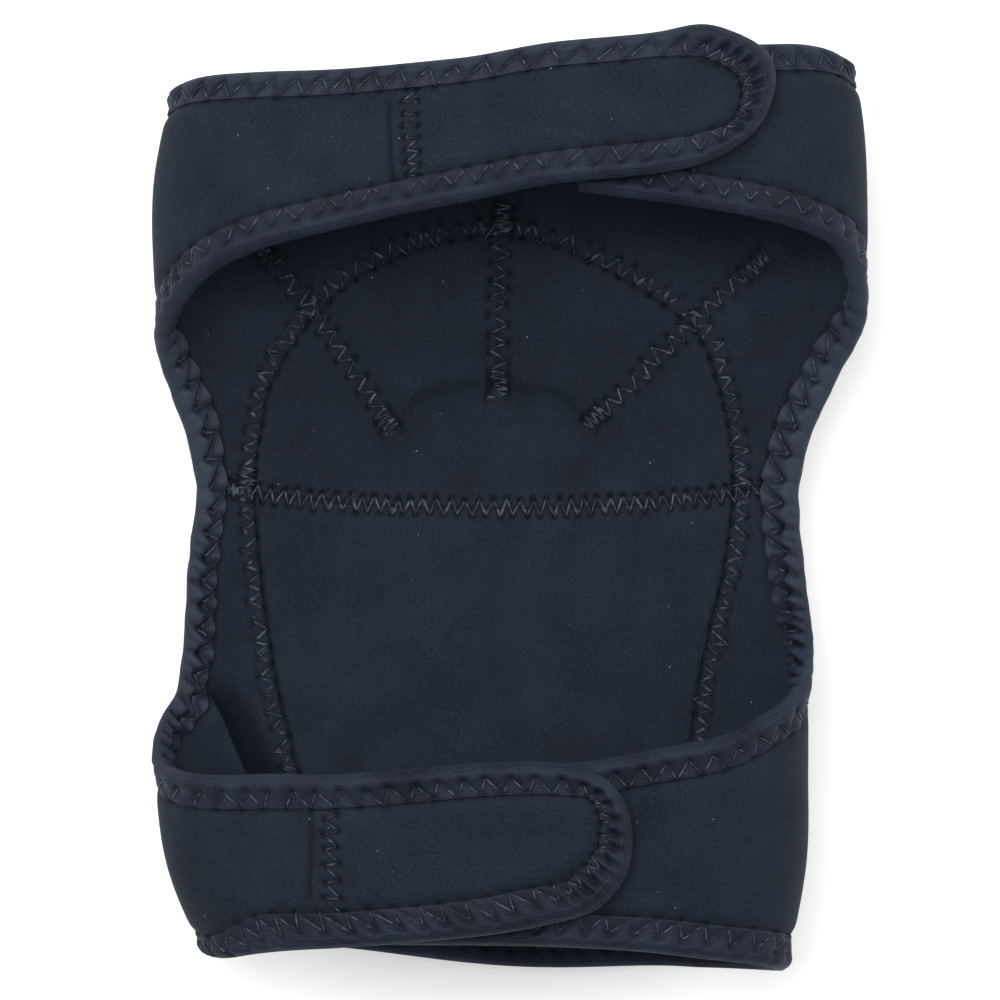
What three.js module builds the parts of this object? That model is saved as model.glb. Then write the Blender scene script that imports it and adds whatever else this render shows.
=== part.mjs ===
// A neoprene knee pad, closed and lying on its front, as it lies on a table.
// +X is to the right of someone looking into its open back, +Y points to the thigh, +Z is up.
// The leg would lie along Y inside the sleeve. Units are millimetres.
//
// The pad is cut from flat neoprene: a thigh panel and a shin panel, sewn together across the knee.
// Each panel has a long strap on its left and a short wing on its right, and wraps round the leg.
// Every edge is bound with folded tape, and two cushions are sewn to the front.
import * as THREE from "three";

// Sheet and tape thicknesses
const NEOPRENE = 4; // foam-rubber sheet, with a knitted face on both sides
const TAPE = 0.9; // binding tape
const TAPE_FACE = 8; // width of the binding on each face of the sheet
const FASTENER = 2.2; // hook tape pressed into the wing's loop face
const GAP = 0.5; // clearance between pieces that touch
const CUSHION_GAP = 0.9; // clearance between a cushion and the curved sheet that it is sewn to
const STRAP_LIFT = 7.4; // how far a strap lies above the wing that it closes on

// Sleeve: its cross-section is a flattened oval that changes along the leg.
// left and right are half-widths, front is the height of the front's centre line above the floor,
// and half is half the depth from front to back, all to the middle of the sheet.
const SLEEVE = [
  { y: -125, left: 72.5, right: 68.5, front: 20, half: 21 },
  { y: -95, left: 86.3, right: 75, front: 17.5, half: 24 },
  { y: -70, left: 89.3, right: 75.8, front: 16.5, half: 26 },
  { y: -45, left: 91, right: 75.8, front: 16, half: 29 },
  { y: 0, left: 89.5, right: 85, front: 16, half: 33 },
  { y: 45, left: 87.3, right: 89.8, front: 16.5, half: 29 },
  { y: 80, left: 89.3, right: 90.8, front: 17.5, half: 26 },
  { y: 105, left: 84.5, right: 88, front: 19.5, half: 24 },
  { y: 125, left: 79, right: 82, front: 22, half: 22 },
];
const FLATNESS = 0.3; // flattens the front and back of the oval and tightens its sides

// Knee cup: the darts draw the front into a shallow bowl just above the knee seam
const CUP = { x: -3, y: 18, halfWidth: 62, above: 56, below: 38, depth: 8 };

// Knee seam: the panels meet along a shallow curve that drops in the middle
const KNEE_SEAM = { end: 3.4, drop: 6.4, leftWrap: -60, rightWrap: 58.4 };

// Cut edges of the panels, as ribs that run across a panel from its window edge to its rim.
// Wrap is the angle round the leg from the front's centre line, in degrees: left is negative,
// and 180 is the middle of the back. The window is the open back between the two straps.
const THIGH_STRAP = [
  { edgeWrap: -228.8, edgeY: 104.5, rimWrap: -228.8, rimY: 109.5 }, // rounded tip
  { edgeWrap: -226.5, edgeY: 100, rimWrap: -226.8, rimY: 113 },
  { edgeWrap: -222, edgeY: 93.5, rimWrap: -222.5, rimY: 115.8 },
  { edgeWrap: -213, edgeY: 86.3, rimWrap: -215, rimY: 117.6 },
  { edgeWrap: -203.5, edgeY: 83, rimWrap: -205, rimY: 115.4 },
  { edgeWrap: -188.5, edgeY: 80, rimWrap: -189, rimY: 112.6 },
  { edgeWrap: -171, edgeY: 75.6, rimWrap: -170, rimY: 109 },
  { edgeWrap: -150, edgeY: 69, rimWrap: -150, rimY: 107.3 },
  { edgeWrap: -136, edgeY: 64.7, rimWrap: -132, rimY: 106.8 },
  { edgeWrap: -123, edgeY: 58.9, rimWrap: -114, rimY: 106.2 },
  { edgeWrap: -109, edgeY: 50.5, rimWrap: -100, rimY: 104.6 },
  { edgeWrap: -95, edgeY: 44.5, rimWrap: -88, rimY: 102.8 }, // left fold
  { edgeWrap: -82.3, edgeY: 38.4, rimWrap: -76, rimY: 102.6 },
  { edgeWrap: -73.8, edgeY: 30.5, rimWrap: -64, rimY: 102.8 },
  { edgeWrap: -65.5, edgeY: 18.8, rimWrap: -52, rimY: 103 },
  { edgeWrap: -60, edgeY: 3.4, rimWrap: -42, rimY: 103.2 }, // end of the knee seam
];
const THIGH_WING = [
  { edgeWrap: 58.4, edgeY: 3.4, rimWrap: 42, rimY: 105.6 }, // end of the knee seam
  { edgeWrap: 61, edgeY: 18.8, rimWrap: 52, rimY: 106.6 },
  { edgeWrap: 67, edgeY: 30.5, rimWrap: 64, rimY: 107.8 },
  { edgeWrap: 74, edgeY: 39, rimWrap: 76, rimY: 109 },
  { edgeWrap: 86, edgeY: 47, rimWrap: 88, rimY: 110.2 }, // right fold
  { edgeWrap: 98, edgeY: 56, rimWrap: 99, rimY: 111.4 },
  { edgeWrap: 109, edgeY: 63.7, rimWrap: 109, rimY: 112.6 },
  { edgeWrap: 119, edgeY: 67.6, rimWrap: 120, rimY: 113.6 },
  { edgeWrap: 131, edgeY: 71.2, rimWrap: 132, rimY: 113.8 },
  { edgeWrap: 146, edgeY: 74.6, rimWrap: 146, rimY: 113.9 },
  { edgeWrap: 168.5, edgeY: 78.8, rimWrap: 168.5, rimY: 113.9 }, // square end, under the strap
];
const SHIN_STRAP = [
  { edgeWrap: -203, edgeY: -82.5, rimWrap: -203, rimY: -87.5 }, // rounded tip
  { edgeWrap: -201.8, edgeY: -77.3, rimWrap: -202, rimY: -93 },
  { edgeWrap: -199, edgeY: -71.7, rimWrap: -199.5, rimY: -98.3 },
  { edgeWrap: -194, edgeY: -68.6, rimWrap: -195.5, rimY: -102.6 },
  { edgeWrap: -187, edgeY: -67.4, rimWrap: -187, rimY: -105.8 },
  { edgeWrap: -175.6, edgeY: -68, rimWrap: -175, rimY: -108.6 },
  { edgeWrap: -162.6, edgeY: -69.8, rimWrap: -160, rimY: -111.1 },
  { edgeWrap: -145, edgeY: -71.5, rimWrap: -143, rimY: -114 },
  { edgeWrap: -128, edgeY: -72.5, rimWrap: -124, rimY: -116.9 },
  { edgeWrap: -110, edgeY: -71.5, rimWrap: -107, rimY: -117 },
  { edgeWrap: -97, edgeY: -69.6, rimWrap: -95, rimY: -116.4 }, // left fold
  { edgeWrap: -87, edgeY: -65.5, rimWrap: -82, rimY: -115.4 },
  { edgeWrap: -77, edgeY: -58.8, rimWrap: -70, rimY: -115.2 },
  { edgeWrap: -68, edgeY: -51.5, rimWrap: -60, rimY: -115.2 },
  { edgeWrap: -63.5, edgeY: -40, rimWrap: -53, rimY: -115.4 },
  { edgeWrap: -62.5, edgeY: -18, rimWrap: -47, rimY: -115.7 },
  { edgeWrap: -60, edgeY: 3.4, rimWrap: -41, rimY: -116.2 }, // end of the knee seam
];
const SHIN_WING = [
  { edgeWrap: 58.4, edgeY: 3.4, rimWrap: 44, rimY: -122.6 }, // end of the knee seam
  { edgeWrap: 61.5, edgeY: -9, rimWrap: 52, rimY: -122.6 },
  { edgeWrap: 67, edgeY: -21, rimWrap: 62, rimY: -122.6 },
  { edgeWrap: 74, edgeY: -32, rimWrap: 74, rimY: -122.5 },
  { edgeWrap: 86, edgeY: -43, rimWrap: 87, rimY: -122 }, // right fold
  { edgeWrap: 98, edgeY: -49.5, rimWrap: 99, rimY: -120.8 },
  { edgeWrap: 110, edgeY: -53, rimWrap: 110, rimY: -119.2 },
  { edgeWrap: 121, edgeY: -56, rimWrap: 123, rimY: -117.7 },
  { edgeWrap: 133, edgeY: -61, rimWrap: 137, rimY: -116.2 },
  { edgeWrap: 149, edgeY: -65.2, rimWrap: 151, rimY: -114.4 },
  { edgeWrap: 165, edgeY: -68.6, rimWrap: 166, rimY: -113.2 },
  { edgeWrap: 183, edgeY: -70.6, rimWrap: 183, rimY: -112.6 },
  { edgeWrap: 204, edgeY: -72.5, rimWrap: 204, rimY: -112.6 }, // square end, under the strap
];

// Where each strap climbs onto its wing: it starts to rise at one x and lies on top from the other.
// frontRim is the height of the rim at the middle of the front.
// The fastener lies between two wraps, and between two shares of the strap's width from its window edge.
const BANDS = {
  thigh: {
    strap: THIGH_STRAP,
    wing: THIGH_WING,
    frontRim: 104,
    riseFrom: -12,
    riseTo: 13,
    fastener: { from: -163, to: -208, low: 0.3, high: 0.58 },
  },
  shin: {
    strap: SHIN_STRAP,
    wing: SHIN_WING,
    frontRim: -124,
    riseFrom: -66,
    riseTo: -40,
    fastener: { from: -152, to: -192, low: 0.3, high: 0.7 },
  },
};

// Front cushions: left and right edges of the sewn bell outline, from the knee seam outwards
const KNEE_CUSHION = [
  { y: 20, left: -66.5, right: 60.2 },
  { y: 36, left: -61.2, right: 56 },
  { y: 49.4, left: -51.2, right: 46.6 },
  { y: 60.5, left: -38.8, right: 29.5 },
  { y: 67.8, left: -23, right: 14 },
  { y: 71, left: -8, right: 2 },
];
const SHIN_CUSHION = [
  { y: -24.6, left: -66.5, right: 58.4 },
  { y: -51, left: -62.6, right: 52.5 },
  { y: -76, left: -56.5, right: 49 },
  { y: -94, left: -51, right: 45.5 },
  { y: -102, left: -45, right: 40 },
  { y: -105, left: -34, right: 30 },
];
const CUSHION_KNEE = { left: -68.6, right: 61.8 }; // ends of the cushions' edge along the knee seam
const CUSHION_EDGE = 2.5; // thickness at the sewn edge
const CUSHION_FLAT = 0.72; // share of the outline that lies flat on the floor

// Mesh fineness
const RIB_STEPS = 2; // columns between two ribs
const FRONT_STEPS = 14; // columns across the front
const ROWS = 8; // rows across a panel
const FASTENER_ROWS = 3; // rows across a fastener
const CUSHION_STEPS = 36; // points round a cushion
const CUSHION_SEAM_STEPS = 9; // those of them along the knee seam
const CUSHION_TOP = [1, 0.8, 0.5, 0.25]; // rings of its top, as shares of its outline
const CUSHION_UNDER = [0.36, CUSHION_FLAT, 0.84, 0.92, 0.97, 1]; // rings of its underside

const radians = THREE.MathUtils.degToRad;
const lerp = THREE.MathUtils.lerp;
const smoothstep = THREE.MathUtils.smoothstep;

// Smooth value of one column of a table at a given key, by a cubic through the rows.
function fromTable(rows, key, column, at) {
  const last = rows.length - 1;
  const found = rows.findIndex((row) => row[key] > at);
  const i = THREE.MathUtils.clamp((found < 0 ? last : found) - 1, 0, last - 1);
  const slope = (k) => {
    const a = rows[Math.max(k - 1, 0)];
    const b = rows[Math.min(k + 1, last)];
    return (b[column] - a[column]) / (b[key] - a[key]);
  };
  const width = rows[i + 1][key] - rows[i][key];
  const t = THREE.MathUtils.clamp((at - rows[i][key]) / width, 0, 1);
  const t2 = t * t;
  const t3 = t2 * t;
  return (
    (2 * t3 - 3 * t2 + 1) * rows[i][column] +
    (t3 - 2 * t2 + t) * width * slope(i) +
    (3 * t2 - 2 * t3) * rows[i + 1][column] +
    (t3 - t2) * width * slope(i + 1)
  );
}

// How far the knee cup is drawn out of the front at a point seen from above.
function cupDepth(x, y) {
  const across = (x - CUP.x) / CUP.halfWidth;
  const along = (y - CUP.y) / (y > CUP.y ? CUP.above : CUP.below);
  const inside = Math.max(0, 1 - across * across - along * along);
  return CUP.depth * inside * inside;
}

// Point of the sleeve's middle surface at a wrap angle and a height along the leg.
function sleevePoint(wrap, y) {
  const sine = Math.sin(radians(wrap));
  const cosine = Math.cos(radians(wrap));
  const halfWidth = fromTable(SLEEVE, "y", sine < 0 ? "left" : "right", y);
  const half = fromTable(SLEEVE, "y", "half", y);
  const front = fromTable(SLEEVE, "y", "front", y);
  const x = halfWidth * sine;
  const flattened = cosine * (1 + FLATNESS * sine * sine);
  const cup = cosine > 0 ? cupDepth(x, y) : 0;
  return new THREE.Vector3(x, y, front + half - half * flattened - cup);
}

// Directions of the sleeve's surface: how it moves per degree of wrap and per millimetre of height,
// and its normal, pointing out of the sleeve.
function sleeveFrame(wrap, y) {
  const step = 0.5;
  const difference = (a, b) => a.sub(b).divideScalar(2 * step);
  const alongWrap = difference(sleevePoint(wrap + step, y), sleevePoint(wrap - step, y));
  const alongY = difference(sleevePoint(wrap, y + step), sleevePoint(wrap, y - step));
  const normal = new THREE.Vector3().crossVectors(alongY, alongWrap).normalize();
  return { alongWrap, alongY, normal };
}

// Height that a strap has climbed above the sleeve, by its place across the back.
function strapLift(band, wrap, y) {
  if (wrap > -90) return 0;
  const { x } = sleevePoint(wrap, y);
  return STRAP_LIFT * smoothstep(x, band.riseFrom, band.riseTo);
}

// Point of a band at a distance out from its middle surface.
function bandPoint(band, { wrap, y }, out) {
  const { normal } = sleeveFrame(wrap, y);
  return sleevePoint(wrap, y).addScaledVector(normal, out + strapLift(band, wrap, y));
}

// Height of the knee seam at a wrap angle.
function kneeSeam(wrap) {
  const { end, drop, leftWrap, rightWrap } = KNEE_SEAM;
  const across = (2 * wrap - leftWrap - rightWrap) / (rightWrap - leftWrap);
  return end - drop * (1 - across * across);
}

// A band's ribs from strap tip to wing end, each as a pair of places on the sleeve.
function bandRibs(band, kneeGap) {
  const curve = (rows, wrap, y) =>
    new THREE.CatmullRomCurve3(rows.map((row) => new THREE.Vector3(row[wrap], row[y], 0)));
  const side = (rows) => {
    const edge = curve(rows, "edgeWrap", "edgeY");
    const rim = curve(rows, "rimWrap", "rimY");
    const count = (rows.length - 1) * RIB_STEPS;
    return Array.from({ length: count + 1 }, (_, i) => {
      const e = edge.getPoint(i / count);
      const r = rim.getPoint(i / count);
      return { edge: { wrap: e.x, y: e.y }, rim: { wrap: r.x, y: r.y } };
    });
  };
  const strap = side(band.strap);
  const wing = side(band.wing);
  const left = strap.at(-1);
  const right = wing[0];
  const front = [];
  for (let i = 0; i <= FRONT_STEPS; i++) {
    const t = i / FRONT_STEPS;
    const wrap = lerp(left.edge.wrap, right.edge.wrap, t);
    const level = lerp(left.rim.y, right.rim.y, t);
    const middle = (left.rim.y + right.rim.y) / 2;
    front.push({
      edge: { wrap, y: kneeSeam(wrap) + kneeGap },
      rim: {
        wrap: lerp(left.rim.wrap, right.rim.wrap, t),
        y: level + (band.frontRim - middle) * Math.sin(Math.PI * t) ** 2,
      },
    });
  }
  return { strap: strap.slice(0, -1), front, wing: wing.slice(1) };
}

// Solid with the given vertices and triangles, turned so that its faces point out.
function closedGeometry(points, triangles) {
  const across = new THREE.Vector3();
  let volume = 0;
  for (const [a, b, c] of triangles) {
    volume += points[a].dot(across.crossVectors(points[b], points[c]));
  }
  const outward = volume > 0 ? triangles : triangles.map(([a, b, c]) => [a, c, b]);
  const geometry = new THREE.BufferGeometry().setFromPoints(points);
  geometry.setIndex(outward.flat());
  geometry.computeVertexNormals();
  return geometry;
}

// Quads between two rings of vertex numbers, as triangles. A closed ring joins its end to its start.
function strip(ringA, ringB, closed) {
  const made = [];
  const count = closed ? ringA.length : ringA.length - 1;
  for (let i = 0; i < count; i++) {
    const k = (i + 1) % ringA.length;
    made.push([ringA[i], ringB[i], ringB[k]], [ringA[i], ringB[k], ringA[k]]);
  }
  return made;
}

// Sheet of a given thickness: a grid of columns and rows on its inner and outer faces, closed all round.
function sheetGeometry(columns, rows, pointAt) {
  const points = [];
  const triangles = [];
  const loops = [];
  for (let i = 0; i < columns; i++) {
    const loop = [];
    for (let j = 0; j < rows; j++) {
      loop.push(points.push(pointAt(i, j / (rows - 1), "inner")) - 1);
    }
    for (let j = rows - 1; j >= 0; j--) {
      loop.push(points.push(pointAt(i, j / (rows - 1), "outer")) - 1);
    }
    if (i > 0) triangles.push(...strip(loops.at(-1), loop, true));
    loops.push(loop);
  }
  const inner = (loop) => loop.slice(0, rows);
  const outer = (loop) => loop.slice(rows).reverse();
  triangles.push(...strip(outer(loops[0]), inner(loops[0]), false));
  triangles.push(...strip(inner(loops.at(-1)), outer(loops.at(-1)), false));
  return closedGeometry(points, triangles);
}

// Place on the sleeve at a share of a rib's length from its window edge.
function onRib(rib, share) {
  return {
    wrap: lerp(rib.edge.wrap, rib.rim.wrap, share),
    y: lerp(rib.edge.y, rib.rim.y, share),
  };
}

// Neoprene panel: the whole band, strap, front and wing, cut in one.
function panelGeometry(band, ribs) {
  const out = { inner: -NEOPRENE / 2, outer: NEOPRENE / 2 };
  return sheetGeometry(ribs.length, ROWS + 1, (i, share, face) =>
    bandPoint(band, onRib(ribs[i], share), out[face]),
  );
}

// Fastener: a plain patch of hook tape on the strap's inner face, clear of the bindings.
function fastenerGeometry(band, ribs) {
  const { from, to, low, high } = band.fastener;
  const covered = ribs.filter(({ edge }) => edge.wrap <= from && edge.wrap >= to);
  const top = -NEOPRENE / 2 - GAP;
  const out = { inner: top - FASTENER, outer: top };
  return sheetGeometry(covered.length, FASTENER_ROWS + 1, (i, share, face) =>
    bandPoint(band, onRib(covered[i], lerp(low, high, share)), out[face]),
  );
}

// Section of the folded tape: depth is the distance from the cut edge into the sheet, out is off its middle.
// The leg on the sheet's outer face bends halfway, because the sheet curves away under it at the folds.
function tapeSection() {
  const inside = NEOPRENE / 2 + GAP;
  const outside = inside + TAPE;
  const fold = -GAP - TAPE;
  return [
    { depth: TAPE_FACE, out: -inside },
    { depth: TAPE_FACE, out: -outside },
    { depth: fold / 4, out: -outside },
    { depth: fold, out: 0 },
    { depth: fold / 4, out: outside },
    { depth: TAPE_FACE / 2, out: outside },
    { depth: TAPE_FACE, out: outside },
    { depth: TAPE_FACE, out: inside },
    { depth: TAPE_FACE / 2, out: inside },
    { depth: -GAP, out: inside },
    { depth: -GAP, out: -inside },
  ];
}

// Triangles that close the tape's cut end, as numbers of points of its section.
const TAPE_END = [
  [0, 1, 2],
  [0, 2, 10],
  [10, 2, 3],
  [10, 3, 9],
  [9, 3, 4],
  [9, 4, 8],
  [8, 4, 5],
  [8, 5, 7],
  [7, 5, 6],
];

// Place reached by going a distance over the sleeve from another place, in a direction in space.
function slide({ wrap, y }, direction, distance) {
  const { alongWrap, alongY } = sleeveFrame(wrap, y);
  const ww = alongWrap.lengthSq();
  const wy = alongWrap.dot(alongY);
  const yy = alongY.lengthSq();
  const toWrap = direction.dot(alongWrap);
  const toY = direction.dot(alongY);
  const scale = distance / (ww * yy - wy * wy);
  return {
    wrap: wrap + (yy * toWrap - wy * toY) * scale,
    y: y + (ww * toY - wy * toWrap) * scale,
  };
}

// Binding: folded tape that follows a cut edge. Each stop has a band and a place, and the panel
// lies on the right of the way the stops run, seen from outside the sleeve.
function bindingGeometry(stops) {
  const section = tapeSection();
  const points = [];
  const triangles = [];
  const loops = [];
  stops.forEach(({ band, place }, i) => {
    const before = stops[Math.max(i - 1, 0)].place;
    const after = stops[Math.min(i + 1, stops.length - 1)].place;
    const { alongWrap, alongY, normal } = sleeveFrame(place.wrap, place.y);
    const tangent = alongWrap.multiplyScalar(after.wrap - before.wrap);
    tangent.addScaledVector(alongY, after.y - before.y).normalize();
    const inward = tangent.cross(normal);
    const halfway = slide(place, inward, TAPE_FACE / 2);
    const loop = section.map(({ depth, out }) => {
      const deep = depth > TAPE_FACE / 2;
      const foot = deep
        ? slide(halfway, inward, depth - TAPE_FACE / 2)
        : slide(place, inward, depth);
      return points.push(bandPoint(band, foot, out)) - 1;
    });
    if (i > 0) triangles.push(...strip(loops.at(-1), loop, true));
    loops.push(loop);
  });
  const first = loops[0];
  const last = loops.at(-1);
  triangles.push(...TAPE_END.map(([a, b, c]) => [first[a], first[b], first[c]]));
  triangles.push(...TAPE_END.map(([a, b, c]) => [last[a], last[c], last[b]]));
  return closedGeometry(points, triangles);
}

// Cushion outline seen from above, as a closed ring: the knee seam's side and the sewn sides.
function cushionOutline(rows, kneeGap) {
  const { left, right } = CUSHION_KNEE;
  const kneeY = (x) => kneeSeam(wrapAt(x, 0)) + kneeGap;
  const sewn = [
    new THREE.Vector3(right, kneeY(right), 0),
    ...rows.map((row) => new THREE.Vector3(row.right, row.y, 0)),
    ...rows.map((row) => new THREE.Vector3(row.left, row.y, 0)).reverse(),
    new THREE.Vector3(left, kneeY(left), 0),
  ];
  const curve = new THREE.CatmullRomCurve3(sewn);
  const ring = curve.getSpacedPoints(CUSHION_STEPS - CUSHION_SEAM_STEPS);
  for (let i = 1; i < CUSHION_SEAM_STEPS; i++) {
    const x = lerp(left, right, i / CUSHION_SEAM_STEPS);
    ring.push(new THREE.Vector3(x, kneeY(x), 0));
  }
  return ring;
}

// Wrap angle of a point of the front, seen from above.
function wrapAt(x, y) {
  const halfWidth = fromTable(SLEEVE, "y", x < 0 ? "left" : "right", y);
  return THREE.MathUtils.radToDeg(Math.asin(x / halfWidth));
}

// Cushion: its top follows the panel's outer face, and its underside is flat on the floor with round edges.
function cushionGeometry(rows, kneeGap) {
  const outline = cushionOutline(rows, kneeGap);
  const centre = outline.reduce((sum, p) => sum.add(p), new THREE.Vector3());
  centre.divideScalar(outline.length);
  const seat = (p) => {
    const wrap = wrapAt(p.x, p.y);
    const { normal } = sleeveFrame(wrap, p.y);
    const drop = NEOPRENE / 2 + CUSHION_GAP;
    return sleevePoint(wrap, p.y).z - drop / Math.abs(normal.z);
  };
  const at = (share, edgePoint) => centre.clone().lerp(edgePoint, share);
  const top = (p) => p.setZ(seat(p));
  const under = (share, edgePoint) => {
    const p = at(share, edgePoint);
    const rise = Math.max(0, (share - CUSHION_FLAT) / (1 - CUSHION_FLAT));
    const edge = seat(edgePoint) - CUSHION_EDGE;
    return p.setZ(edge * (1 - Math.sqrt(1 - rise * rise)));
  };
  const points = [];
  const ring = (make) => outline.map((p) => points.push(make(p)) - 1);
  const rings = [
    ...CUSHION_UNDER.map((share) => ring((p) => under(share, p))),
    ...CUSHION_TOP.map((share) => ring((p) => top(at(share, p)))),
  ];
  const triangles = rings.slice(1).flatMap((next, i) => strip(rings[i], next, true));
  const fan = (hub, loop, turned) =>
    loop.map((a, i) => {
      const b = loop[(i + 1) % loop.length];
      return turned ? [hub, b, a] : [hub, a, b];
    });
  const floorHub = points.push(centre.clone().setZ(0)) - 1;
  const topHub = points.push(top(centre.clone())) - 1;
  triangles.push(...fan(floorHub, rings[0], false), ...fan(topHub, rings.at(-1), true));
  return closedGeometry(points, triangles);
}

const neoprene = new THREE.MeshStandardMaterial({ color: 0x252d36, roughness: 0.85 });
const bindingTape = new THREE.MeshStandardMaterial({ color: 0x2b303b, roughness: 0.7 });
const hookTape = new THREE.MeshStandardMaterial({ color: 0x15181c, roughness: 0.95 });
const cushionCloth = new THREE.MeshStandardMaterial({ color: 0x20262d, roughness: 0.9 });

const kneePad = new THREE.Group();
const pieces = new THREE.Group();
kneePad.add(pieces);

function addPiece(name, geometry, material) {
  const mesh = new THREE.Mesh(geometry, material);
  mesh.name = name;
  pieces.add(mesh);
}

const kneeGaps = { thigh: GAP / 2, shin: -GAP / 2 };
const ribs = {};
for (const [name, band] of Object.entries(BANDS)) {
  const found = bandRibs(band, kneeGaps[name]);
  ribs[name] = found;
  const all = [...found.strap, ...found.front, ...found.wing];
  addPiece(`${name}_panel`, panelGeometry(band, all), neoprene);
  addPiece(`${name}_hook_patch`, fastenerGeometry(band, found.strap), hookTape);
}

const { thigh, shin } = BANDS;
const edgeStops = (band, list) => list.map((rib) => ({ band, place: rib.edge }));
const rimStops = (band, list) => list.map((rib) => ({ band, place: rib.rim }));
const tipStop = (band, list) => ({ band, place: onRib(list[0], 0.5) });

// The long binding starts at the thigh wing's end and goes along the thigh's rim, round the strap's tip,
// down the left window edge, round the shin strap's tip and along the shin's rim to its wing's end.
const longStops = [
  ...rimStops(thigh, [...ribs.thigh.strap, ...ribs.thigh.front, ...ribs.thigh.wing].reverse()),
  tipStop(thigh, ribs.thigh.strap),
  ...edgeStops(thigh, ribs.thigh.strap),
  ...edgeStops(shin, [...ribs.shin.strap].reverse()),
  tipStop(shin, ribs.shin.strap),
  ...rimStops(shin, [...ribs.shin.strap, ...ribs.shin.front, ...ribs.shin.wing]),
];
addPiece("long_binding", bindingGeometry(longStops), bindingTape);

// The short binding follows the right window edge, from the shin wing's end to the thigh wing's end.
const shortStops = [
  ...edgeStops(shin, [...ribs.shin.wing].reverse()),
  ...edgeStops(thigh, ribs.thigh.wing),
];
addPiece("window_binding", bindingGeometry(shortStops), bindingTape);

addPiece("knee_cushion", cushionGeometry(KNEE_CUSHION, GAP), cushionCloth);
addPiece("shin_cushion", cushionGeometry(SHIN_CUSHION, -GAP), cushionCloth);

// The origin is under the middle of the whole object, on the floor.
const bounds = new THREE.Box3().setFromObject(pieces);
const middle = bounds.getCenter(new THREE.Vector3());
pieces.position.set(-middle.x, -middle.y, -bounds.min.z);

export default kneePad;
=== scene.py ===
import bmesh
import bpy
import numpy as np
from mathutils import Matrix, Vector
from mathutils.kdtree import KDTree


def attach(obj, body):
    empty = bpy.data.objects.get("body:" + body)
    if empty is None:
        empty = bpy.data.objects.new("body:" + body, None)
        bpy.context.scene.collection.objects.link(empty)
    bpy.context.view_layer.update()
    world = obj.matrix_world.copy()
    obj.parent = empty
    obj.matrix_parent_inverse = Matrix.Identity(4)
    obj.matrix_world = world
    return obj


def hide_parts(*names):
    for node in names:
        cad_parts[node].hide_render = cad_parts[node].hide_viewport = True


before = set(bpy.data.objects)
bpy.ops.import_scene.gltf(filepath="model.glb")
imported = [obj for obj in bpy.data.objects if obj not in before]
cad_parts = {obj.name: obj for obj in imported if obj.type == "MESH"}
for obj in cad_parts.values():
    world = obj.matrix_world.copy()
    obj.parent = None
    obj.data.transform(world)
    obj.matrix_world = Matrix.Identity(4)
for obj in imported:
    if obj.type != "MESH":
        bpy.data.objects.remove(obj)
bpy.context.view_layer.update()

# Neoprene panels: 4 mm foam rubber with a knitted face on both sides, cut flat as a thigh panel and a
# shin panel. Each has a long strap on its left and a short wing on its right, and wraps round the leg.
# Places are in millimetres: on the sleeve by wrap angle and height, and on the flat cut by two lengths.
MM = 0.001
ORIGIN = np.array([-0.53, 2.985, 0.0])  # from the middle of the drawing to the frame's origin
SHEET = 4.0  # thickness
STRAP_LIFT = 7.4  # how far a strap lies above the wing that it closes on
FLATNESS = 0.3  # flattens the oval's front and back
SLEEVE_Y = np.array([-125.0, -95.0, -70.0, -45.0, 0.0, 45.0, 80.0, 105.0, 125.0])
SLEEVE_LEFT = np.array([73.6, 85.8, 89.3, 91.0, 89.5, 88.8, 89.3, 84.9, 80.4])  # half-width
SLEEVE_RIGHT = np.array([70.0, 75.3, 76.0, 76.9, 85.0, 90.8, 91.0, 88.8, 83.2])  # half-width
SLEEVE_FRONT = np.array([20.0, 17.5, 16.5, 16.0, 16.0, 16.5, 17.5, 19.5, 22.0])  # front above floor
SLEEVE_HALF = np.array([21.0, 24.0, 26.0, 29.0, 33.0, 29.0, 26.0, 24.0, 22.0])  # half the depth
# The kneecap's bowl in the front, and the knee seam, by its height at the ends, drop and end wraps
CUP_X, CUP_Y, CUP_HALF_WIDTH, CUP_ABOVE, CUP_BELOW, CUP_DEPTH = -3.0, 18.0, 62.0, 56.0, 38.0, 8.0
KNEE_END, KNEE_DROP, KNEE_LEFT, KNEE_RIGHT = 3.4, 6.4, -60.0, 58.4

# Cut edges, as ribs across a panel: wrap and height at the window's edge, then at the outer rim
THIGH_STRAP = np.array([
    (-226.7, 104.5, -226.7, 109.0), (-225.2, 99.2, -224.4, 112.4), (-221.8, 92.4, -219.8, 115.5),
    (-213.0, 85.2, -214.0, 117.6), (-203.5, 82.2, -205.0, 115.4), (-188.5, 79.7, -189.0, 113.2),
    (-171.0, 75.6, -170.0, 109.8), (-150.0, 69.0, -150.0, 107.3), (-136.0, 64.7, -132.0, 106.8),
    (-123.0, 58.9, -114.0, 106.2), (-109.0, 50.5, -100.0, 104.6), (-95.0, 44.5, -88.0, 102.8),
    (-82.3, 38.4, -76.0, 102.6), (-73.8, 30.5, -64.0, 102.8), (-65.5, 18.8, -52.0, 103.0),
    (-60.0, 3.4, -42.0, 103.2),
])
THIGH_WING = np.array([
    (58.4, 3.4, 42.0, 105.6), (61.0, 18.8, 52.0, 106.6), (67.0, 30.5, 64.0, 107.8),
    (74.0, 39.0, 76.0, 109.0), (86.0, 47.0, 88.0, 110.2), (98.0, 56.0, 99.0, 111.4),
    (109.0, 63.7, 109.0, 113.3), (119.0, 67.6, 120.0, 114.2), (131.0, 71.2, 132.0, 113.8),
    (146.0, 74.6, 146.0, 113.9), (168.5, 78.8, 168.5, 113.9),
])
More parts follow.
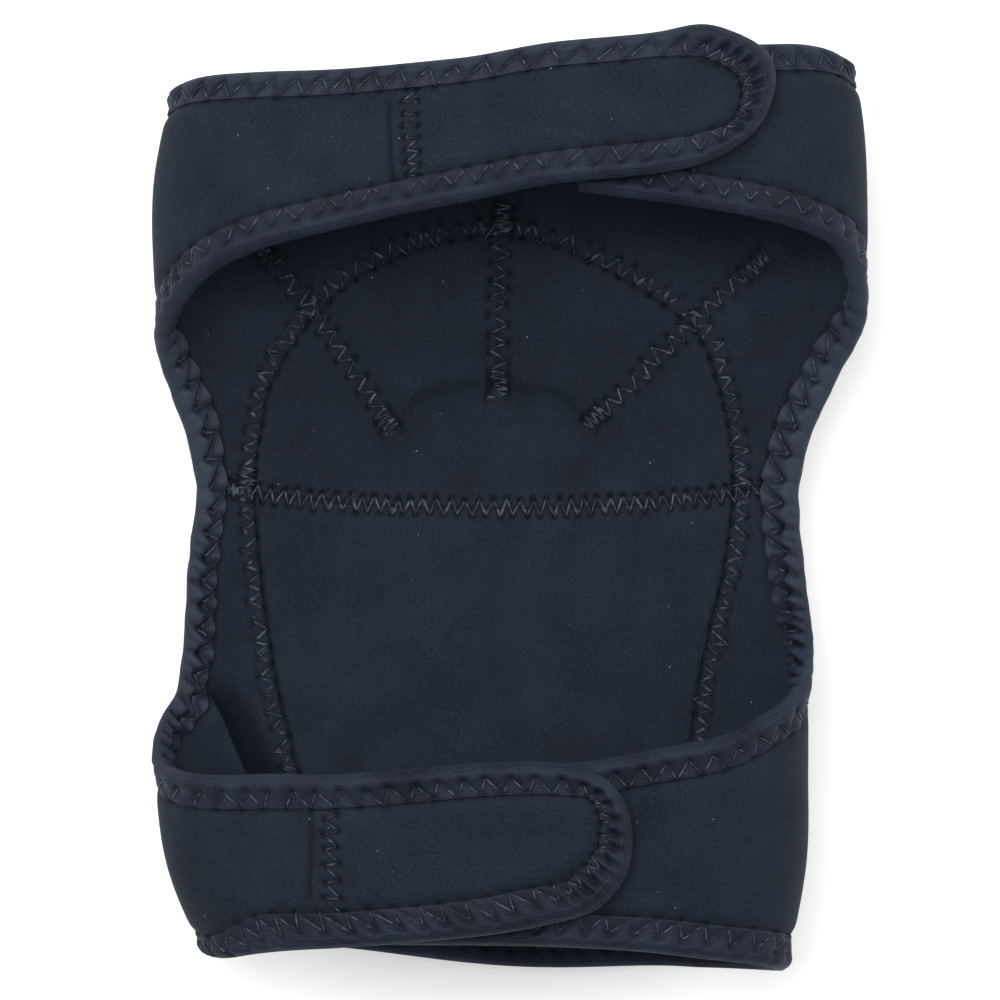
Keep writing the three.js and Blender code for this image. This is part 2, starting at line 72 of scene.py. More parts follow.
SHIN_STRAP = np.array([
    (-203.0, -82.5, -203.0, -87.5), (-201.8, -77.3, -202.0, -93.0), (-199.0, -71.7, -199.5, -98.3),
    (-194.0, -68.2, -195.5, -102.6), (-187.0, -66.8, -187.0, -105.8), (-175.6, -67.1, -175.0, -108.6),
    (-162.6, -69.0, -160.0, -110.6), (-145.0, -71.1, -143.0, -112.3), (-128.0, -72.5, -124.0, -115.2),
    (-110.0, -72.0, -107.0, -117.0), (-97.0, -70.6, -95.0, -116.4), (-87.0, -66.8, -82.0, -115.4),
    (-77.0, -60.2, -70.0, -115.2), (-68.0, -52.9, -60.0, -115.2), (-63.5, -40.0, -53.0, -115.4),
    (-62.5, -18.0, -47.0, -115.7), (-60.0, 3.4, -41.0, -116.2),
])
SHIN_WING = np.array([
    (58.4, 3.4, 44.0, -121.8), (61.5, -9.0, 52.0, -121.8), (67.0, -21.0, 62.0, -121.8),
    (74.0, -32.0, 74.0, -121.7), (86.0, -43.0, 87.0, -121.2), (98.0, -49.5, 99.0, -120.2),
    (110.0, -53.6, 110.0, -119.2), (121.0, -57.1, 123.0, -117.7), (133.0, -61.9, 137.0, -116.2),
    (149.0, -65.2, 151.0, -114.4), (165.0, -68.6, 166.0, -113.2), (183.0, -71.2, 183.0, -112.6),
    (204.0, -73.4, 204.0, -112.6),
])
RIB_PARTS = 40  # places on an edge between two ribs
KNEE_GAP = -0.12  # half the gap between the panels, which are pressed together edge to edge
BANDS = {
    "thigh": {"strap": THIGH_STRAP, "wing": THIGH_WING, "front_rim": 104.0, "rise": (-12.0, 13.0),
              "knee_gap": KNEE_GAP},
    "shin": {"strap": SHIN_STRAP, "wing": SHIN_WING, "front_rim": -121.9, "rise": (-66.0, -40.0),
             "knee_gap": -KNEE_GAP},
}
for band in BANDS.values():
    band["strap"][-1, 1] += band["knee_gap"]
    band["wing"][0, 1] += band["knee_gap"]


def smooth_table(values, y):
    """Smooth value of one of the sleeve's columns at the heights y."""
    slope = np.empty(len(values))
    slope[1:-1] = (values[2:] - values[:-2]) / (SLEEVE_Y[2:] - SLEEVE_Y[:-2])
    slope[0] = (values[1] - values[0]) / (SLEEVE_Y[1] - SLEEVE_Y[0])
    slope[-1] = (values[-1] - values[-2]) / (SLEEVE_Y[-1] - SLEEVE_Y[-2])
    i = np.clip(np.searchsorted(SLEEVE_Y, y, side="right") - 1, 0, len(SLEEVE_Y) - 2)
    width = SLEEVE_Y[i + 1] - SLEEVE_Y[i]
    t = np.clip((y - SLEEVE_Y[i]) / width, 0, 1)
    ease = t * t * (3 - 2 * t)
    lean = t * (1 - t) ** 2 * slope[i] - t * t * (1 - t) * slope[i + 1]
    return values[i] * (1 - ease) + values[i + 1] * ease + lean * width


def half_width(x, y):
    """Half-width of the sleeve on the side that x is on."""
    return np.where(x < 0, smooth_table(SLEEVE_LEFT, y), smooth_table(SLEEVE_RIGHT, y))


def sleeve_point(wrap, y):
    """Point of the middle of the sheet, at a wrap angle in degrees and a height along the leg."""
    wrap, y = np.broadcast_arrays(wrap, y)
    sine = np.sin(np.radians(wrap))
    cosine = np.cos(np.radians(wrap))
    half = smooth_table(SLEEVE_HALF, y)
    x = half_width(sine, y) * sine
    across = (x - CUP_X) / CUP_HALF_WIDTH
    along = (y - CUP_Y) / np.where(y > CUP_Y, CUP_ABOVE, CUP_BELOW)
    inside = np.maximum(0, 1 - across**2 - along**2)
    cup = np.where(cosine > 0, CUP_DEPTH * inside**2, 0)
    z = smooth_table(SLEEVE_FRONT, y) + half - half * cosine * (1 + FLATNESS * sine**2) - cup
    return np.stack([x, y, z], axis=-1)


def sleeve_normal(wrap, y):
    """Direction out of the sleeve."""
    step = 0.5
    along_wrap = sleeve_point(wrap + step, y) - sleeve_point(wrap - step, y)
    along_y = sleeve_point(wrap, y + step) - sleeve_point(wrap, y - step)
    normal = np.cross(along_y, along_wrap)
    return normal / np.linalg.norm(normal, axis=-1, keepdims=True)


def eased(value, start, end):
    """Smooth step from 0 at start to 1 at end."""
    t = np.clip((value - start) / (end - start), 0, 1)
    return t * t * (3 - 2 * t)


def strap_lift(wrap, y, rise):
    """How far a strap has climbed above the sleeve, between the two x that rise gives."""
    return np.where(wrap > -90, 0, STRAP_LIFT * eased(sleeve_point(wrap, y)[..., 0], *rise))


def smooth_curve(points, at):
    """Places on the smooth curve through points, where at counts in points."""
    ends = [2 * points[0] - points[1]], points, [2 * points[-1] - points[-2]]
    points_and_ends = np.vstack(ends)
    i = np.clip(np.floor(at).astype(int), 0, len(points) - 2)
    t = (at - i)[:, None]
    a, b, c, d = (points_and_ends[i + k] for k in range(4))
    steps = (b - a, c - b, d - c)
    ab, bc, cd = (np.linalg.norm(step, axis=1, keepdims=True) ** 0.5 for step in steps)
    leave = ((b - a) / ab - (c - a) / (ab + bc) + (c - b) / bc) * bc
    arrive = ((c - b) / bc - (d - b) / (bc + cd) + (d - c) / cd) * bc
    bend = 3 * (c - b) - 2 * leave - arrive
    return b + leave * t + bend * t**2 + (2 * (b - c) + leave + arrive) * t**3


# Flat cut: the length round the sleeve from the front's centre line, by wrap and height, and back
WRAPS = np.arange(-242.0, 220.0)
HEIGHTS = np.arange(-140.0, 132.0, 2.0)
FLAT_STEP = 0.5
FLATS = np.arange(-340.0, 330.0, FLAT_STEP)
rings = sleeve_point(WRAPS[None, :], HEIGHTS[:, None])
steps_round = np.linalg.norm(np.diff(rings, axis=1), axis=2)
lengths_round = np.hstack([np.zeros((len(HEIGHTS), 1)), np.cumsum(steps_round, axis=1)])
lengths_round -= lengths_round[:, [int(-WRAPS[0])]]
wraps_by_length = np.array([np.interp(FLATS, lengths, WRAPS) for lengths in lengths_round])


def read_grid(grid, across, y):
    """Value of a grid between its columns, counted by across, and its heights."""
    row = np.clip((y - HEIGHTS[0]) / (HEIGHTS[1] - HEIGHTS[0]), 0, len(HEIGHTS) - 1.001)
    column = np.clip(across, 0, grid.shape[1] - 1.001)
    i, k = row.astype(int), column.astype(int)
    s, t = row - i, column - k
    low = grid[i, k] * (1 - t) + grid[i, k + 1] * t
    high = grid[i + 1, k] * (1 - t) + grid[i + 1, k + 1] * t
    return low * (1 - s) + high * s


def flat_of(wrap, y):
    """Place on the flat cut of a place on the sleeve."""
    wrap, y = np.asarray(wrap, float), np.asarray(y, float)
    return np.stack([read_grid(lengths_round, wrap - WRAPS[0], y), y], axis=-1)


def wrap_of(flat):
    """Wrap angle of a place on the flat cut."""
    return read_grid(wraps_by_length, (flat[..., 0] - FLATS[0]) / FLAT_STEP, flat[..., 1])


def bump(distance, reach):
    """One at a line, falling smoothly to nothing away from it."""
    return np.exp(-((distance / reach) ** 2))


# Buckle of the sheet low on the left, where the strap leaves the front: height and wrap along its foot
BUCKLE_Y = np.array([-106.0, -92.0, -71.5, -52.0, -44.0])
BUCKLE_WRAP = np.array([-43.0, -46.5, -52.1, -60.6, -65.0])


def buckle(flat):
    """The buckle's ridge, and the hollow that it overhangs, each from 0 to 1."""
    y = flat[..., 1]
    across = flat[..., 0] - flat_of(np.interp(y, BUCKLE_Y, BUCKLE_WRAP), y)[..., 0]
    along = eased(y, -111, -84) * eased(y, -44, -60)
    ridge = eased(across, -15, -1) * eased(across, 2, -0.5)
    hollow = eased(across, -0.5, 2) * eased(across, 14, 2.5)
    return along * ridge, along * hollow


def ripple(flat):
    """Unevenness of the sheet: soft waves and the buckle."""
    u, y = flat[..., 0], flat[..., 1]
    long_waves = np.sin(u / 13.0 + y / 21.0 + 0.7) + np.sin(y / 9.0 - u / 24.0 + 2.1)
    waves = 0.10 * long_waves + 0.06 * np.sin(u / 5.5 + 1.3 * np.sin(y / 11.0))
    ridge, hollow = buckle(flat)
    return waves - 5.0 * ridge + 7.0 * hollow


def wrapped(flat, out, rise, wrap=None):
    """Points of a band at a distance out from the middle of its sheet, from places on the flat cut."""
    wrap = wrap_of(flat) if wrap is None else wrap
    y = flat[..., 1]
    away = out + ripple(flat) + strap_lift(wrap, y, rise)
    return sleeve_point(wrap, y) + sleeve_normal(wrap, y) * away[..., None]


def run_of(line):
    """Length along a line up to each of its points."""
    return np.r_[0, np.cumsum(np.linalg.norm(np.diff(line, axis=0), axis=1))]


def read_along(at, run, values):
    """Columns of values that are known at the lengths run, read at the lengths at."""
    return np.column_stack([np.interp(at, run, column) for column in values.T])


def spaced(line, step):
    """The line with its points a step apart."""
    run = run_of(line)
    at = np.linspace(0, run[-1], max(2, int(round(run[-1] / step)) + 1))
    return read_along(at, run, line)


def softened(values, reach):
    """Values averaged along their line with a bell-shaped weight, ends kept."""
    span = int(3 * reach) + 1
    weight = np.exp(-0.5 * (np.arange(-span, span + 1) / reach) ** 2)
    weight /= weight.sum()
    start = 2 * values[0] - values[span:0:-1]
    end = 2 * values[-1] - values[-2:-span - 2:-1]
    padded = np.vstack([start, values, end])
    return np.column_stack([np.convolve(column, weight, mode="valid") for column in padded.T])


def knee_seam(wrap):
    """Height of the knee seam, which drops in the middle of the front."""
    across = (2 * wrap - KNEE_LEFT - KNEE_RIGHT) / (KNEE_RIGHT - KNEE_LEFT)
    return KNEE_END - KNEE_DROP * (1 - across**2)


def front_rim(band, t):
    """Outer rim of the front, from the strap to the wing."""
    left, right = band["strap"][-1, 2:], band["wing"][0, 2:]
    rim = left + (right - left) * t[:, None]
    rim[:, 1] += (band["front_rim"] - (left[1] + right[1]) / 2) * np.sin(np.pi * t) ** 2
    return rim


def close_counts(rows):
    """Counts along the ribs of a strap or wing, close together."""
    return np.linspace(0, len(rows) - 1, RIB_PARTS * (len(rows) - 1) + 1)


def cut_edge(rows, first):
    """One side of a strap or wing, as many close places."""
    return smooth_curve(rows[:, first:first + 2], close_counts(rows))


# Bound edges: the two lines of cut edge that the tapes follow, with the panel on their left when flat
STATION = 0.72  # millimetres between two sections of tape
WAIST_EASE = 1.9  # how far the gathered tape stands off the cut edge at the waist
WHOLE_RIM = np.linspace(0, 1, 300)
WAIST_WRAP, WAIST_WRAP_FADE = 116, 22  # where the waist ends round the leg, and over what it fades
WAIST_HEIGHT, WAIST_HEIGHT_FADE = 80, 14  # the same along the leg
FOLD_WRAP, FOLD_REACH = 87, 18  # the folds at the sleeve's sides


def at_waist(flat):
    """One along the window's sides between the folds of the sleeve, falling to nothing on the straps."""
    wrap, y = np.abs(wrap_of(flat)), np.abs(flat[..., 1])
    round_leg = np.clip((WAIST_WRAP - wrap) / WAIST_WRAP_FADE, 0, 1)
    return round_leg * np.clip((WAIST_HEIGHT - y) / WAIST_HEIGHT_FADE, 0, 1)


def at_fold(flat):
    """One along the window's sides where they turn over the folds of the sleeve, below the knee."""
    wrap, y = np.abs(wrap_of(flat)), flat[..., 1]
    return bump(wrap - FOLD_WRAP, FOLD_REACH) * np.clip((84 + y) / 6, 0, 1) * eased(y, 5, -10)


def at_tip(flat):
    """One round the free end of a strap."""
    wrap, y = wrap_of(flat), flat[..., 1]
    return eased(wrap, np.where(y > 0, -212, -190), np.where(y > 0, -220, -197))


def bound_edge(runs):
    """Line on the flat cut, with its direction into the panel and its band's rise."""
    places = np.vstack([run for run, _ in runs])
    rises = np.vstack([np.tile(BANDS[name]["rise"], (len(run), 1)) for run, name in runs])
    flat = np.hstack([flat_of(places[:, 0], places[:, 1]), rises])
    kept = np.r_[True, np.linalg.norm(np.diff(flat[:, :2], axis=0), axis=1) > 1e-6]
    flat = flat[kept]
    run = run_of(flat[:, :2])
    at = np.linspace(0, run[-1], int(run[-1] / STATION) + 1)
    line = read_along(at, run, flat)
    line[:, :2] = softened(line[:, :2], 1.8 / STATION)
    ahead = softened(np.gradient(line[:, :2], axis=0), 2.2 / STATION)
    ahead /= np.linalg.norm(ahead, axis=1, keepdims=True)
    inward = np.column_stack([-ahead[:, 1], ahead[:, 0]])
    uneven = 0.15 * np.sin(at / 2.4 + 2 * np.sin(at / 9.0))
    line[:, :2] -= inward * ((WAIST_EASE + uneven) * at_waist(line[:, :2]))[:, None]
    return {"at": run_of(line[:, :2]), "line": line[:, :2], "inward": inward, "rise": line[:, 2:]}


thigh, shin = BANDS["thigh"], BANDS["shin"]
long_edge = bound_edge([
    (cut_edge(thigh["wing"], 2)[::-1], "thigh"),
    (front_rim(thigh, WHOLE_RIM)[::-1], "thigh"),
    (cut_edge(thigh["strap"], 2)[::-1], "thigh"),
    (cut_edge(thigh["strap"], 0), "thigh"),
    (cut_edge(shin["strap"], 0)[::-1], "shin"),
    (cut_edge(shin["strap"], 2), "shin"),
    (front_rim(shin, WHOLE_RIM), "shin"),
    (cut_edge(shin["wing"], 2), "shin"),
])
window_edge = bound_edge([
    (cut_edge(shin["wing"], 0)[::-1], "shin"),
    (cut_edge(thigh["wing"], 0), "thigh"),
])

# Sewn lines seen in the open back, as places across and along the drawing
BELL_TOP = np.array([
    (-68.6, 2.9), (-67.8, 12.4), (-66.5, 20.3), (-64.7, 28.2), (-61.2, 36.2), (-56.0, 44.1),
    (-51.2, 49.4), (-45.4, 56.0), (-38.8, 60.5), (-30.9, 64.7), (-23.0, 67.8), (-13.5, 70.0),
    (-0.5, 71.0), (14.0, 67.8), (24.6, 63.1), (35.1, 57.3), (43.0, 52.0), (49.6, 46.7),
    (54.1, 40.1), (57.6, 30.9), (60.2, 20.3), (61.5, 12.4), (61.8, 2.6),
])
BELL_FOOT = np.array([
    (-68.6, 2.9), (-68.1, -8.7), (-66.5, -24.6), (-64.7, -37.8), (-62.6, -51.0), (-59.9, -61.5),
    (-57.3, -72.1), (-51.0, -94.0), (-44.0, -102.0), (-34.0, -105.0), (-2.0, -106.0), (30.0, -105.0),
    (39.5, -102.0), (45.5, -94.0), (49.5, -76.0), (51.0, -62.8), (53.1, -48.3), (55.7, -35.1),
    (58.9, -21.9), (61.0, -8.7), (61.8, 2.6),
])
DARTS = [
    np.array([(-0.5, 77.1), (-1.8, 62.6), (-2.4, 25.6)]),
    np.array([(-66.5, 67.0), (-57.3, 57.3), (-51.2, 49.4), (-44.1, 38.8), (-36.2, 26.9), (-29.6, 16.4)]),
    np.array([(68.1, 63.4), (60.2, 56.5), (50.2, 47.3), (40.4, 37.5), (29.8, 26.9), (20.6, 18.2)]),
]
ARCH = np.array([(-28.0, 19.0), (-23.0, 25.5), (-10.8, 29.0), (0.5, 28.4), (13.2, 26.6), (19.0, 20.0)])
TAB_SEAMS = {
    "thigh": np.array([(-24.6, 102.5), (-24.0, 80.5)]),
    "shin": np.array([(-43.9, -79.0), (-43.0, -104.0)]),
}
TAB_EDGE = 4.8  # from the tab's zigzag to the end of the hook tape behind, which shows through
CREASE = 2.3  # from the bell's zigzag to the crease inside it
CREASE_SHARE = {"thigh": 0.65, "shin": 1.0}  # how deep the crease is, least round the kneecap


def sewn_line(places, back=False):
    """Fine line on the flat cut through places of the drawing, on the front or on a strap."""
    curve = smooth_curve(places, np.linspace(0, len(places) - 1, 60 * len(places)))
    x, y = curve[:, 0], curve[:, 1]
    turn = np.degrees(np.arcsin(x / half_width(x, y)))
    return spaced(flat_of(-180 - turn if back else turn, y), 0.25)


def left_of(line):
    """Direction to the left of a line on the flat cut, at each of its points."""
    ahead = np.gradient(line, axis=0)
    ahead /= np.linalg.norm(ahead, axis=1, keepdims=True)
    return np.column_stack([-ahead[:, 1], ahead[:, 0]])


def offset(line, left):
    """The line moved to its left on the flat cut."""
    return line + left * left_of(line)


bell_lines = {"thigh": sewn_line(BELL_TOP), "shin": sewn_line(BELL_FOOT)}
creases = {"thigh": offset(bell_lines["thigh"], -CREASE), "shin": offset(bell_lines["shin"], CREASE)}
dart_lines = [sewn_line(places) for places in DARTS]
arch_line = sewn_line(ARCH)
tab_lines = {name: sewn_line(places, back=True) for name, places in TAB_SEAMS.items()}
knee_wraps = np.linspace(KNEE_LEFT, KNEE_RIGHT, 500)
knee_line = spaced(flat_of(knee_wraps, knee_seam(knee_wraps)), 0.25)

# Zigzag needle holes, which press the sheet in. Thread runs from hole to hole on both faces.
rng = np.random.default_rng(7)
TACK_CROWD = 0.4  # pitch within a tack, as a share of the pitch elsewhere


def zigzag(line, pitch, width, tack=0.0):
    """Uneven needle holes left and right of a line by turns, crowded near its ends by a tack."""
    run = run_of(line)
    at = [0.0]
    while at[-1] < run[-1]:
        crowd = TACK_CROWD if min(at[-1], run[-1] - at[-1]) < tack else 1.0
        at.append(at[-1] + crowd * pitch / 2 * rng.uniform(0.8, 1.2))
    at = np.array(at[:-1])
    side = np.where(np.arange(len(at)) % 2 == 1, 0.5, -0.5) * width * rng.normal(1, 0.1, len(at))
    return read_along(at, run, line) + read_along(at, run, left_of(line)) * side[:, None]


TAPE_FACE = 7.2  # width of the binding on each face of the sheet
WAIST_WIDER, WAIST_SLIMMER, TIP_SLIMMER = 0.18, 0.12, 0.16  # how much wider or slimmer it lies there
THIGH_LEAN, SHIN_LEAN = 1.8, 3.0  # how far it is turned over to the inner face along the rims
BINDING_PITCH = 6.5  # its zigzag, and how much closer or longer that is in places
FOLD_CLOSER, TIP_CLOSER, STRAP_CLOSER, RIM_LONGER = 1.7, 1.9, 0.9, 1.3
STITCH_WIDTH = 4.5  # across the tape, and how much wider or narrower that is in places
WAIST_WIDER_STITCH, TIP_NARROWER_STITCH, STRAP_NARROWER_STITCH = 1.3, 1.6, 0.8
WAIST_LEAD = 0.3  # how much longer one leg of the zigzag is than the other at the waist


def at_wide(flat):
    """One along the waist where the tape lies wide: on the right, and on the left above the knee."""
    return at_waist(flat) * np.where(wrap_of(flat) > 0, 1, eased(flat[..., 1], 0, 25))


def at_thigh_rim(flat):
    """One along the thigh's outer rim, up to the tip of the strap."""
    return eased(flat[..., 1], 88, 96) * eased(wrap_of(flat), -214, -204)


def tape_width(flat, side):
    """Width of the binding by the nearest edge, on the outer face, side 1, or the inner one, side -1."""
    wrap, y = wrap_of(flat), flat[..., 1]
    shin_rim = eased(y, -96, -104) * eased(wrap, -196, -186) * eased(wrap, -80, -95)
    lean = THIGH_LEAN * at_thigh_rim(flat) + SHIN_LEAN * shin_rim * eased(wrap, -137, -112)
    wide = at_wide(flat)
    share = 1 + WAIST_WIDER * wide - WAIST_SLIMMER * (at_waist(flat) - wide)
    return TAPE_FACE * (share - TIP_SLIMMER * at_tip(flat)) - side * lean


def at_strap_edge(flat):
    """One along the lower edge of the thigh strap, where the zigzag is smaller."""
    wrap, y = wrap_of(flat), flat[..., 1]
    return eased(wrap, -96, -106) * eased(wrap, -205, -185) * eased(y, 28, 36) * eased(y, 96, 91)


def edge_zigzag(edge, lead):
    """Needle holes of a binding's zigzag, from its inner edge to the foot of its rounded fold.

    At the waist, lead makes the leg towards the fold the longer one, or the shorter one where negative.
    """
    line, waist = edge["line"], at_waist(edge["line"])
    pitch = BINDING_PITCH - FOLD_CLOSER * at_fold(line) - TIP_CLOSER * at_tip(line)
    rim = eased(line[:, 1], 88, 96) * eased(wrap_of(line), -168, -182) * (1 - at_tip(line))
    pitch = pitch + RIM_LONGER * rim - STRAP_CLOSER * at_strap_edge(line)
    skew = lead * waist * eased(line[:, 1], -35, -5)
    at = [1.0]
    while at[-1] < edge["at"][-1] - 1:
        to_fold = 1 if len(at) % 2 == 1 else -1
        share = 0.5 + to_fold * np.interp(at[-1], edge["at"], skew)
        at.append(at[-1] + share * np.interp(at[-1], edge["at"], pitch) * rng.uniform(0.86, 1.14))
    at = np.array(at[:-1])
    foot, inward, rise = (read_along(at, edge["at"], edge[key]) for key in ("line", "inward", "rise"))
    swing = np.arange(len(at)) % 2
    stitch = STITCH_WIDTH + WAIST_WIDER_STITCH * at_wide(foot) - TIP_NARROWER_STITCH * at_tip(foot)
    stitch = stitch - STRAP_NARROWER_STITCH * at_strap_edge(foot)
    depth = tape_width(foot, 1) - 0.2 - swing * stitch + rng.normal(0, 0.2, len(at))
    holes = foot + inward * depth[:, None]
    return {"at": at, "depth": depth, "swing": swing, "holes": holes, "rise": rise}


long_zigzag = edge_zigzag(long_edge, WAIST_LEAD)
window_zigzag = edge_zigzag(window_edge, -WAIST_LEAD)
BELL_STITCH = (4.8, 4.4, 4.0)  # pitch, width and tack
DART_STITCH = (4.7, 4.8, 8.0)
KNEE_STITCH = (3.5, 4.2, 8.0)
TAB_STITCH = {"thigh": (3.3, 2.9), "shin": (4.6, 3.3)}  # pitch and width
bell_holes = {name: zigzag(line, *BELL_STITCH) for name, line in bell_lines.items()}
dart_holes = [zigzag(line, *DART_STITCH) for line in dart_lines]
knee_holes = zigzag(knee_line, *KNEE_STITCH)
tab_holes = {name: zigzag(line, *TAB_STITCH[name]) for name, line in tab_lines.items()}


def tree_of(places):
    """Search tree of places on the flat cut."""
    tree = KDTree(len(places))
    for i, (u, y) in enumerate(places):
        tree.insert((u, y, 0), i)
    tree.balance()
    return tree


def nearest(tree, flat):
    """Distance to the nearest place of a tree, and its number."""
    found = [tree.find((u, y, 0)) for u, y in flat]
    return np.array([hit[2] for hit in found]), np.array([hit[1] for hit in found])


def thread_tree(chains):
    """Search tree of the threads between needle holes."""
    return tree_of(np.vstack([spaced(chain, 0.3) for chain in chains]))


edge_tree = tree_of(np.vstack([long_edge["line"], window_edge["line"]]))
knee_tree = tree_of(knee_line)
arch_tree = tree_of(arch_line)
dart_tree = tree_of(np.vstack(dart_lines))
tab_tree = tree_of(np.vstack(list(tab_lines.values())))
tab_edge_tree = tree_of(np.vstack([offset(line, TAB_EDGE) for line in tab_lines.values()]))
crease_trees = {name: tree_of(line) for name, line in creases.items()}
edge_chains = [long_zigzag["holes"], window_zigzag["holes"]]
inner_chains = [*bell_holes.values(), *dart_holes, knee_holes]
inner_threads, inner_needles = thread_tree(inner_chains), tree_of(np.vstack(inner_chains + edge_chains))
outer_chains = list(tab_holes.values())
outer_threads, outer_needles = thread_tree(outer_chains), tree_of(np.vstack(outer_chains + edge_chains))


def half_sheet(flat, side):
    """Half the sheet's thickness, which the binding squeezes, on its outer or its inner face."""
    away = nearest(edge_tree, flat)[0] - tape_width(flat, side)
    return np.where(away > 0, SHEET / 2 - 0.85 * bump(away, 1.8), 1.05 + 0.1 * bump(away, 1.0))


def bell_step(name, flat):
    """Drop from the flange to the cup at the bell's crease: sharp on the flange, easy in the cup."""
    line = creases[name]
    away, i = nearest(crease_trees[name], flat)
    ahead = np.gradient(line, axis=0)[i]
    to = flat - line[i]
    on_left = ahead[:, 0] * to[:, 1] - ahead[:, 1] * to[:, 0] > 0
    in_flange = on_left if name == "thigh" else ~on_left
    flange = -1.1 * bump(away, 0.45) - 0.2 * bump(away, 3.2)
    return CREASE_SHARE[name] * np.where(in_flange, flange, -0.5 - 1.2 * np.exp(-away / 2.0))


def inner_relief(name, flat):
    """How the inner face is pressed in along the front's seams, with soft pads between the darts."""
    knee = nearest(knee_tree, flat)[0]
    dart = nearest(dart_tree, flat)[0]
    arch, i = nearest(arch_tree, flat)
    above = np.tanh((flat[:, 1] - arch_line[i, 1]) / 2.5)
    front = np.clip((80 - np.abs(wrap_of(flat))) / 8, 0, 1)
    seams = -0.6 * bump(knee, 0.7) - 0.45 * bump(knee, 2.8)
    seams = seams - 0.5 * bump(dart, 0.6) - 0.5 * bump(dart, 2.4)
    pads = 1.3 * above * bump(arch, 11) - 0.5 * bump(arch, 1.4) - 2.1 * bump(dart, 8.5)
    return front * (seams + pads + bell_step(name, flat))


def outer_relief(flat):
    """How the outer face is pressed in along the tabs' seams."""
    tab = nearest(tab_tree, flat)[0]
    tab_edge = nearest(tab_edge_tree, flat)[0]
    return -0.3 * bump(tab, 0.7) - 0.45 * bump(tab, 2.6) - 0.45 * bump(tab_edge, 0.8)


def pressed_in(threads, needles, flat):
    """How thread and needle holes press a face in, and the painted shade in those grooves and holes."""
    thread, needle = nearest(threads, flat)[0], nearest(needles, flat)[0]
    return (-0.3 * bump(thread, 0.5) - 0.95 * bump(needle, 0.8),
            0.35 * bump(thread, 0.55) + 0.95 * bump(needle, 0.85))


def inner_level(name, flat):
    """Distance of the inner face from the middle of the sheet, and its painted shade."""
    relief, dark = pressed_in(inner_threads, inner_needles, flat)
    crease = bump(nearest(crease_trees[name], flat)[0], 0.6)
    seam = bump(np.minimum(nearest(knee_tree, flat)[0], nearest(dart_tree, flat)[0]), 0.5)
    # Painted shade: in the bell's crease, along the knee seam and darts, in the buckle's hollow, and a
    # little over the inner face, most in the kneecap's bowl and none at the cup's top
    inner_face_shade = 0.1 * eased(flat[:, 1], 55, 35) * (1 + eased(flat[:, 1], -5, 5))
    dark = dark + 0.45 * CREASE_SHARE[name] * crease + 0.3 * seam + 0.6 * buckle(flat)[1] + inner_face_shade
    return half_sheet(flat, -1) + inner_relief(name, flat) + relief, dark


def outer_level(flat):
    """The same for the outer face, with a painted shade line along the tab's edge."""
    relief, dark = pressed_in(outer_threads, outer_needles, flat)
    tab_edge = bump(nearest(tab_edge_tree, flat)[0], 0.5)
    return half_sheet(flat, 1) + outer_relief(flat) + relief, dark + 0.9 * tab_edge


PANEL_ROWS, CUP_ROWS, FLANGE_ROWS, RIM_COLUMNS = 72, 70, 30, 280  # of the panels' grids
COLUMN_STEP, TAB_COLUMN_STEP = 1.4, 0.5  # between columns of a strap or wing, and at a tab's seam
TAB_COLUMN_REACH = 8.0


def graded(count):
    """Shares from 0 to 1, closer together at both ends."""
    v = np.linspace(0, 1, count + 1)
    return 0.4 * v + 0.6 * (1 - np.cos(np.pi * v)) / 2


def ruled(near, far, count):
    """Grid of places on straight lines from one edge to another."""
    share = graded(count)[None, :, None]
    return near[:, None] * (1 - share) + far[:, None] * share


def even_columns(rows, tab_at=None):
    """Strap or wing as a grid from its window edge to its rim, with closer columns at a tab's seam."""
    at = close_counts(rows)
    flats = [flat_of(*cut_edge(rows, first).T) for first in (0, 2)]
    step = np.diff(sum(run_of(flat) for flat in flats) / 2)
    density = np.full(len(step), 1 / COLUMN_STEP)
    if tab_at is not None:
        middle = (flats[0][1:, 0] + flats[1][1:, 0]) / 2
        density += (1 / TAB_COLUMN_STEP - 1 / COLUMN_STEP) * bump(middle - tab_at, TAB_COLUMN_REACH)
    count = np.r_[0, np.cumsum(step * density)]
    columns = np.interp(np.linspace(0, count[-1], int(count[-1]) + 1), count, at)
    return ruled(smooth_curve(rows[:, :2], columns), smooth_curve(rows[:, 2:], columns), PANEL_ROWS)


def panel_patches(name):
    """Grids of places that make up a panel: strap, wing, flange round the bell, and cup inside it."""
    band = BANDS[name]
    strap, wing = even_columns(band["strap"], tab_lines[name][:, 0].mean()), even_columns(band["wing"])
    rim = front_rim(band, np.linspace(0, 1, RIM_COLUMNS + 1))
    round_front = np.vstack([strap[-1], rim[1:-1], wing[0][::-1]])
    run = run_of(flat_of(round_front[:, 0], round_front[:, 1]))
    share = run / run[-1]
    crease = np.column_stack([wrap_of(creases[name]), creases[name][:, 1]])
    crease_run = run_of(creases[name])
    bell = read_along(share * crease_run[-1], crease_run, crease)
    knee_wrap = bell[0, 0] + (bell[-1, 0] - bell[0, 0]) * share
    knee = np.column_stack([knee_wrap, knee_seam(knee_wrap) + band["knee_gap"]])
    bell[0], bell[-1] = knee[0], knee[-1]
    flange = ruled(bell, round_front, FLANGE_ROWS)
    for end in (0, -1):
        flange[end, :, 1] = knee_seam(flange[end, :, 0]) + band["knee_gap"]
    return strap, wing, flange, ruled(knee, bell, CUP_ROWS)


def grid_faces(columns, rows, block):
    """Faces of a grid, each of block by block squares, that keep every point on the grid's border."""
    faces = []
    for c in range(0, columns - 1, block):
        d = min(c + block, columns - 1)
        for r in range(0, rows - 1, block):
            s = min(r + block, rows - 1)
            low = range(c, d) if r == 0 else (c,)
            right = range(r, s) if d == columns - 1 else (r,)
            high = range(d, c, -1) if s == rows - 1 else (d,)
            left = range(s, r, -1) if c == 0 else (s,)
            ring = [(i, r) for i in low] + [(d, i) for i in right]
            ring += [(i, s) for i in high] + [(c, i) for i in left]
            faces.append([i * rows + k for i, k in ring])
    return faces


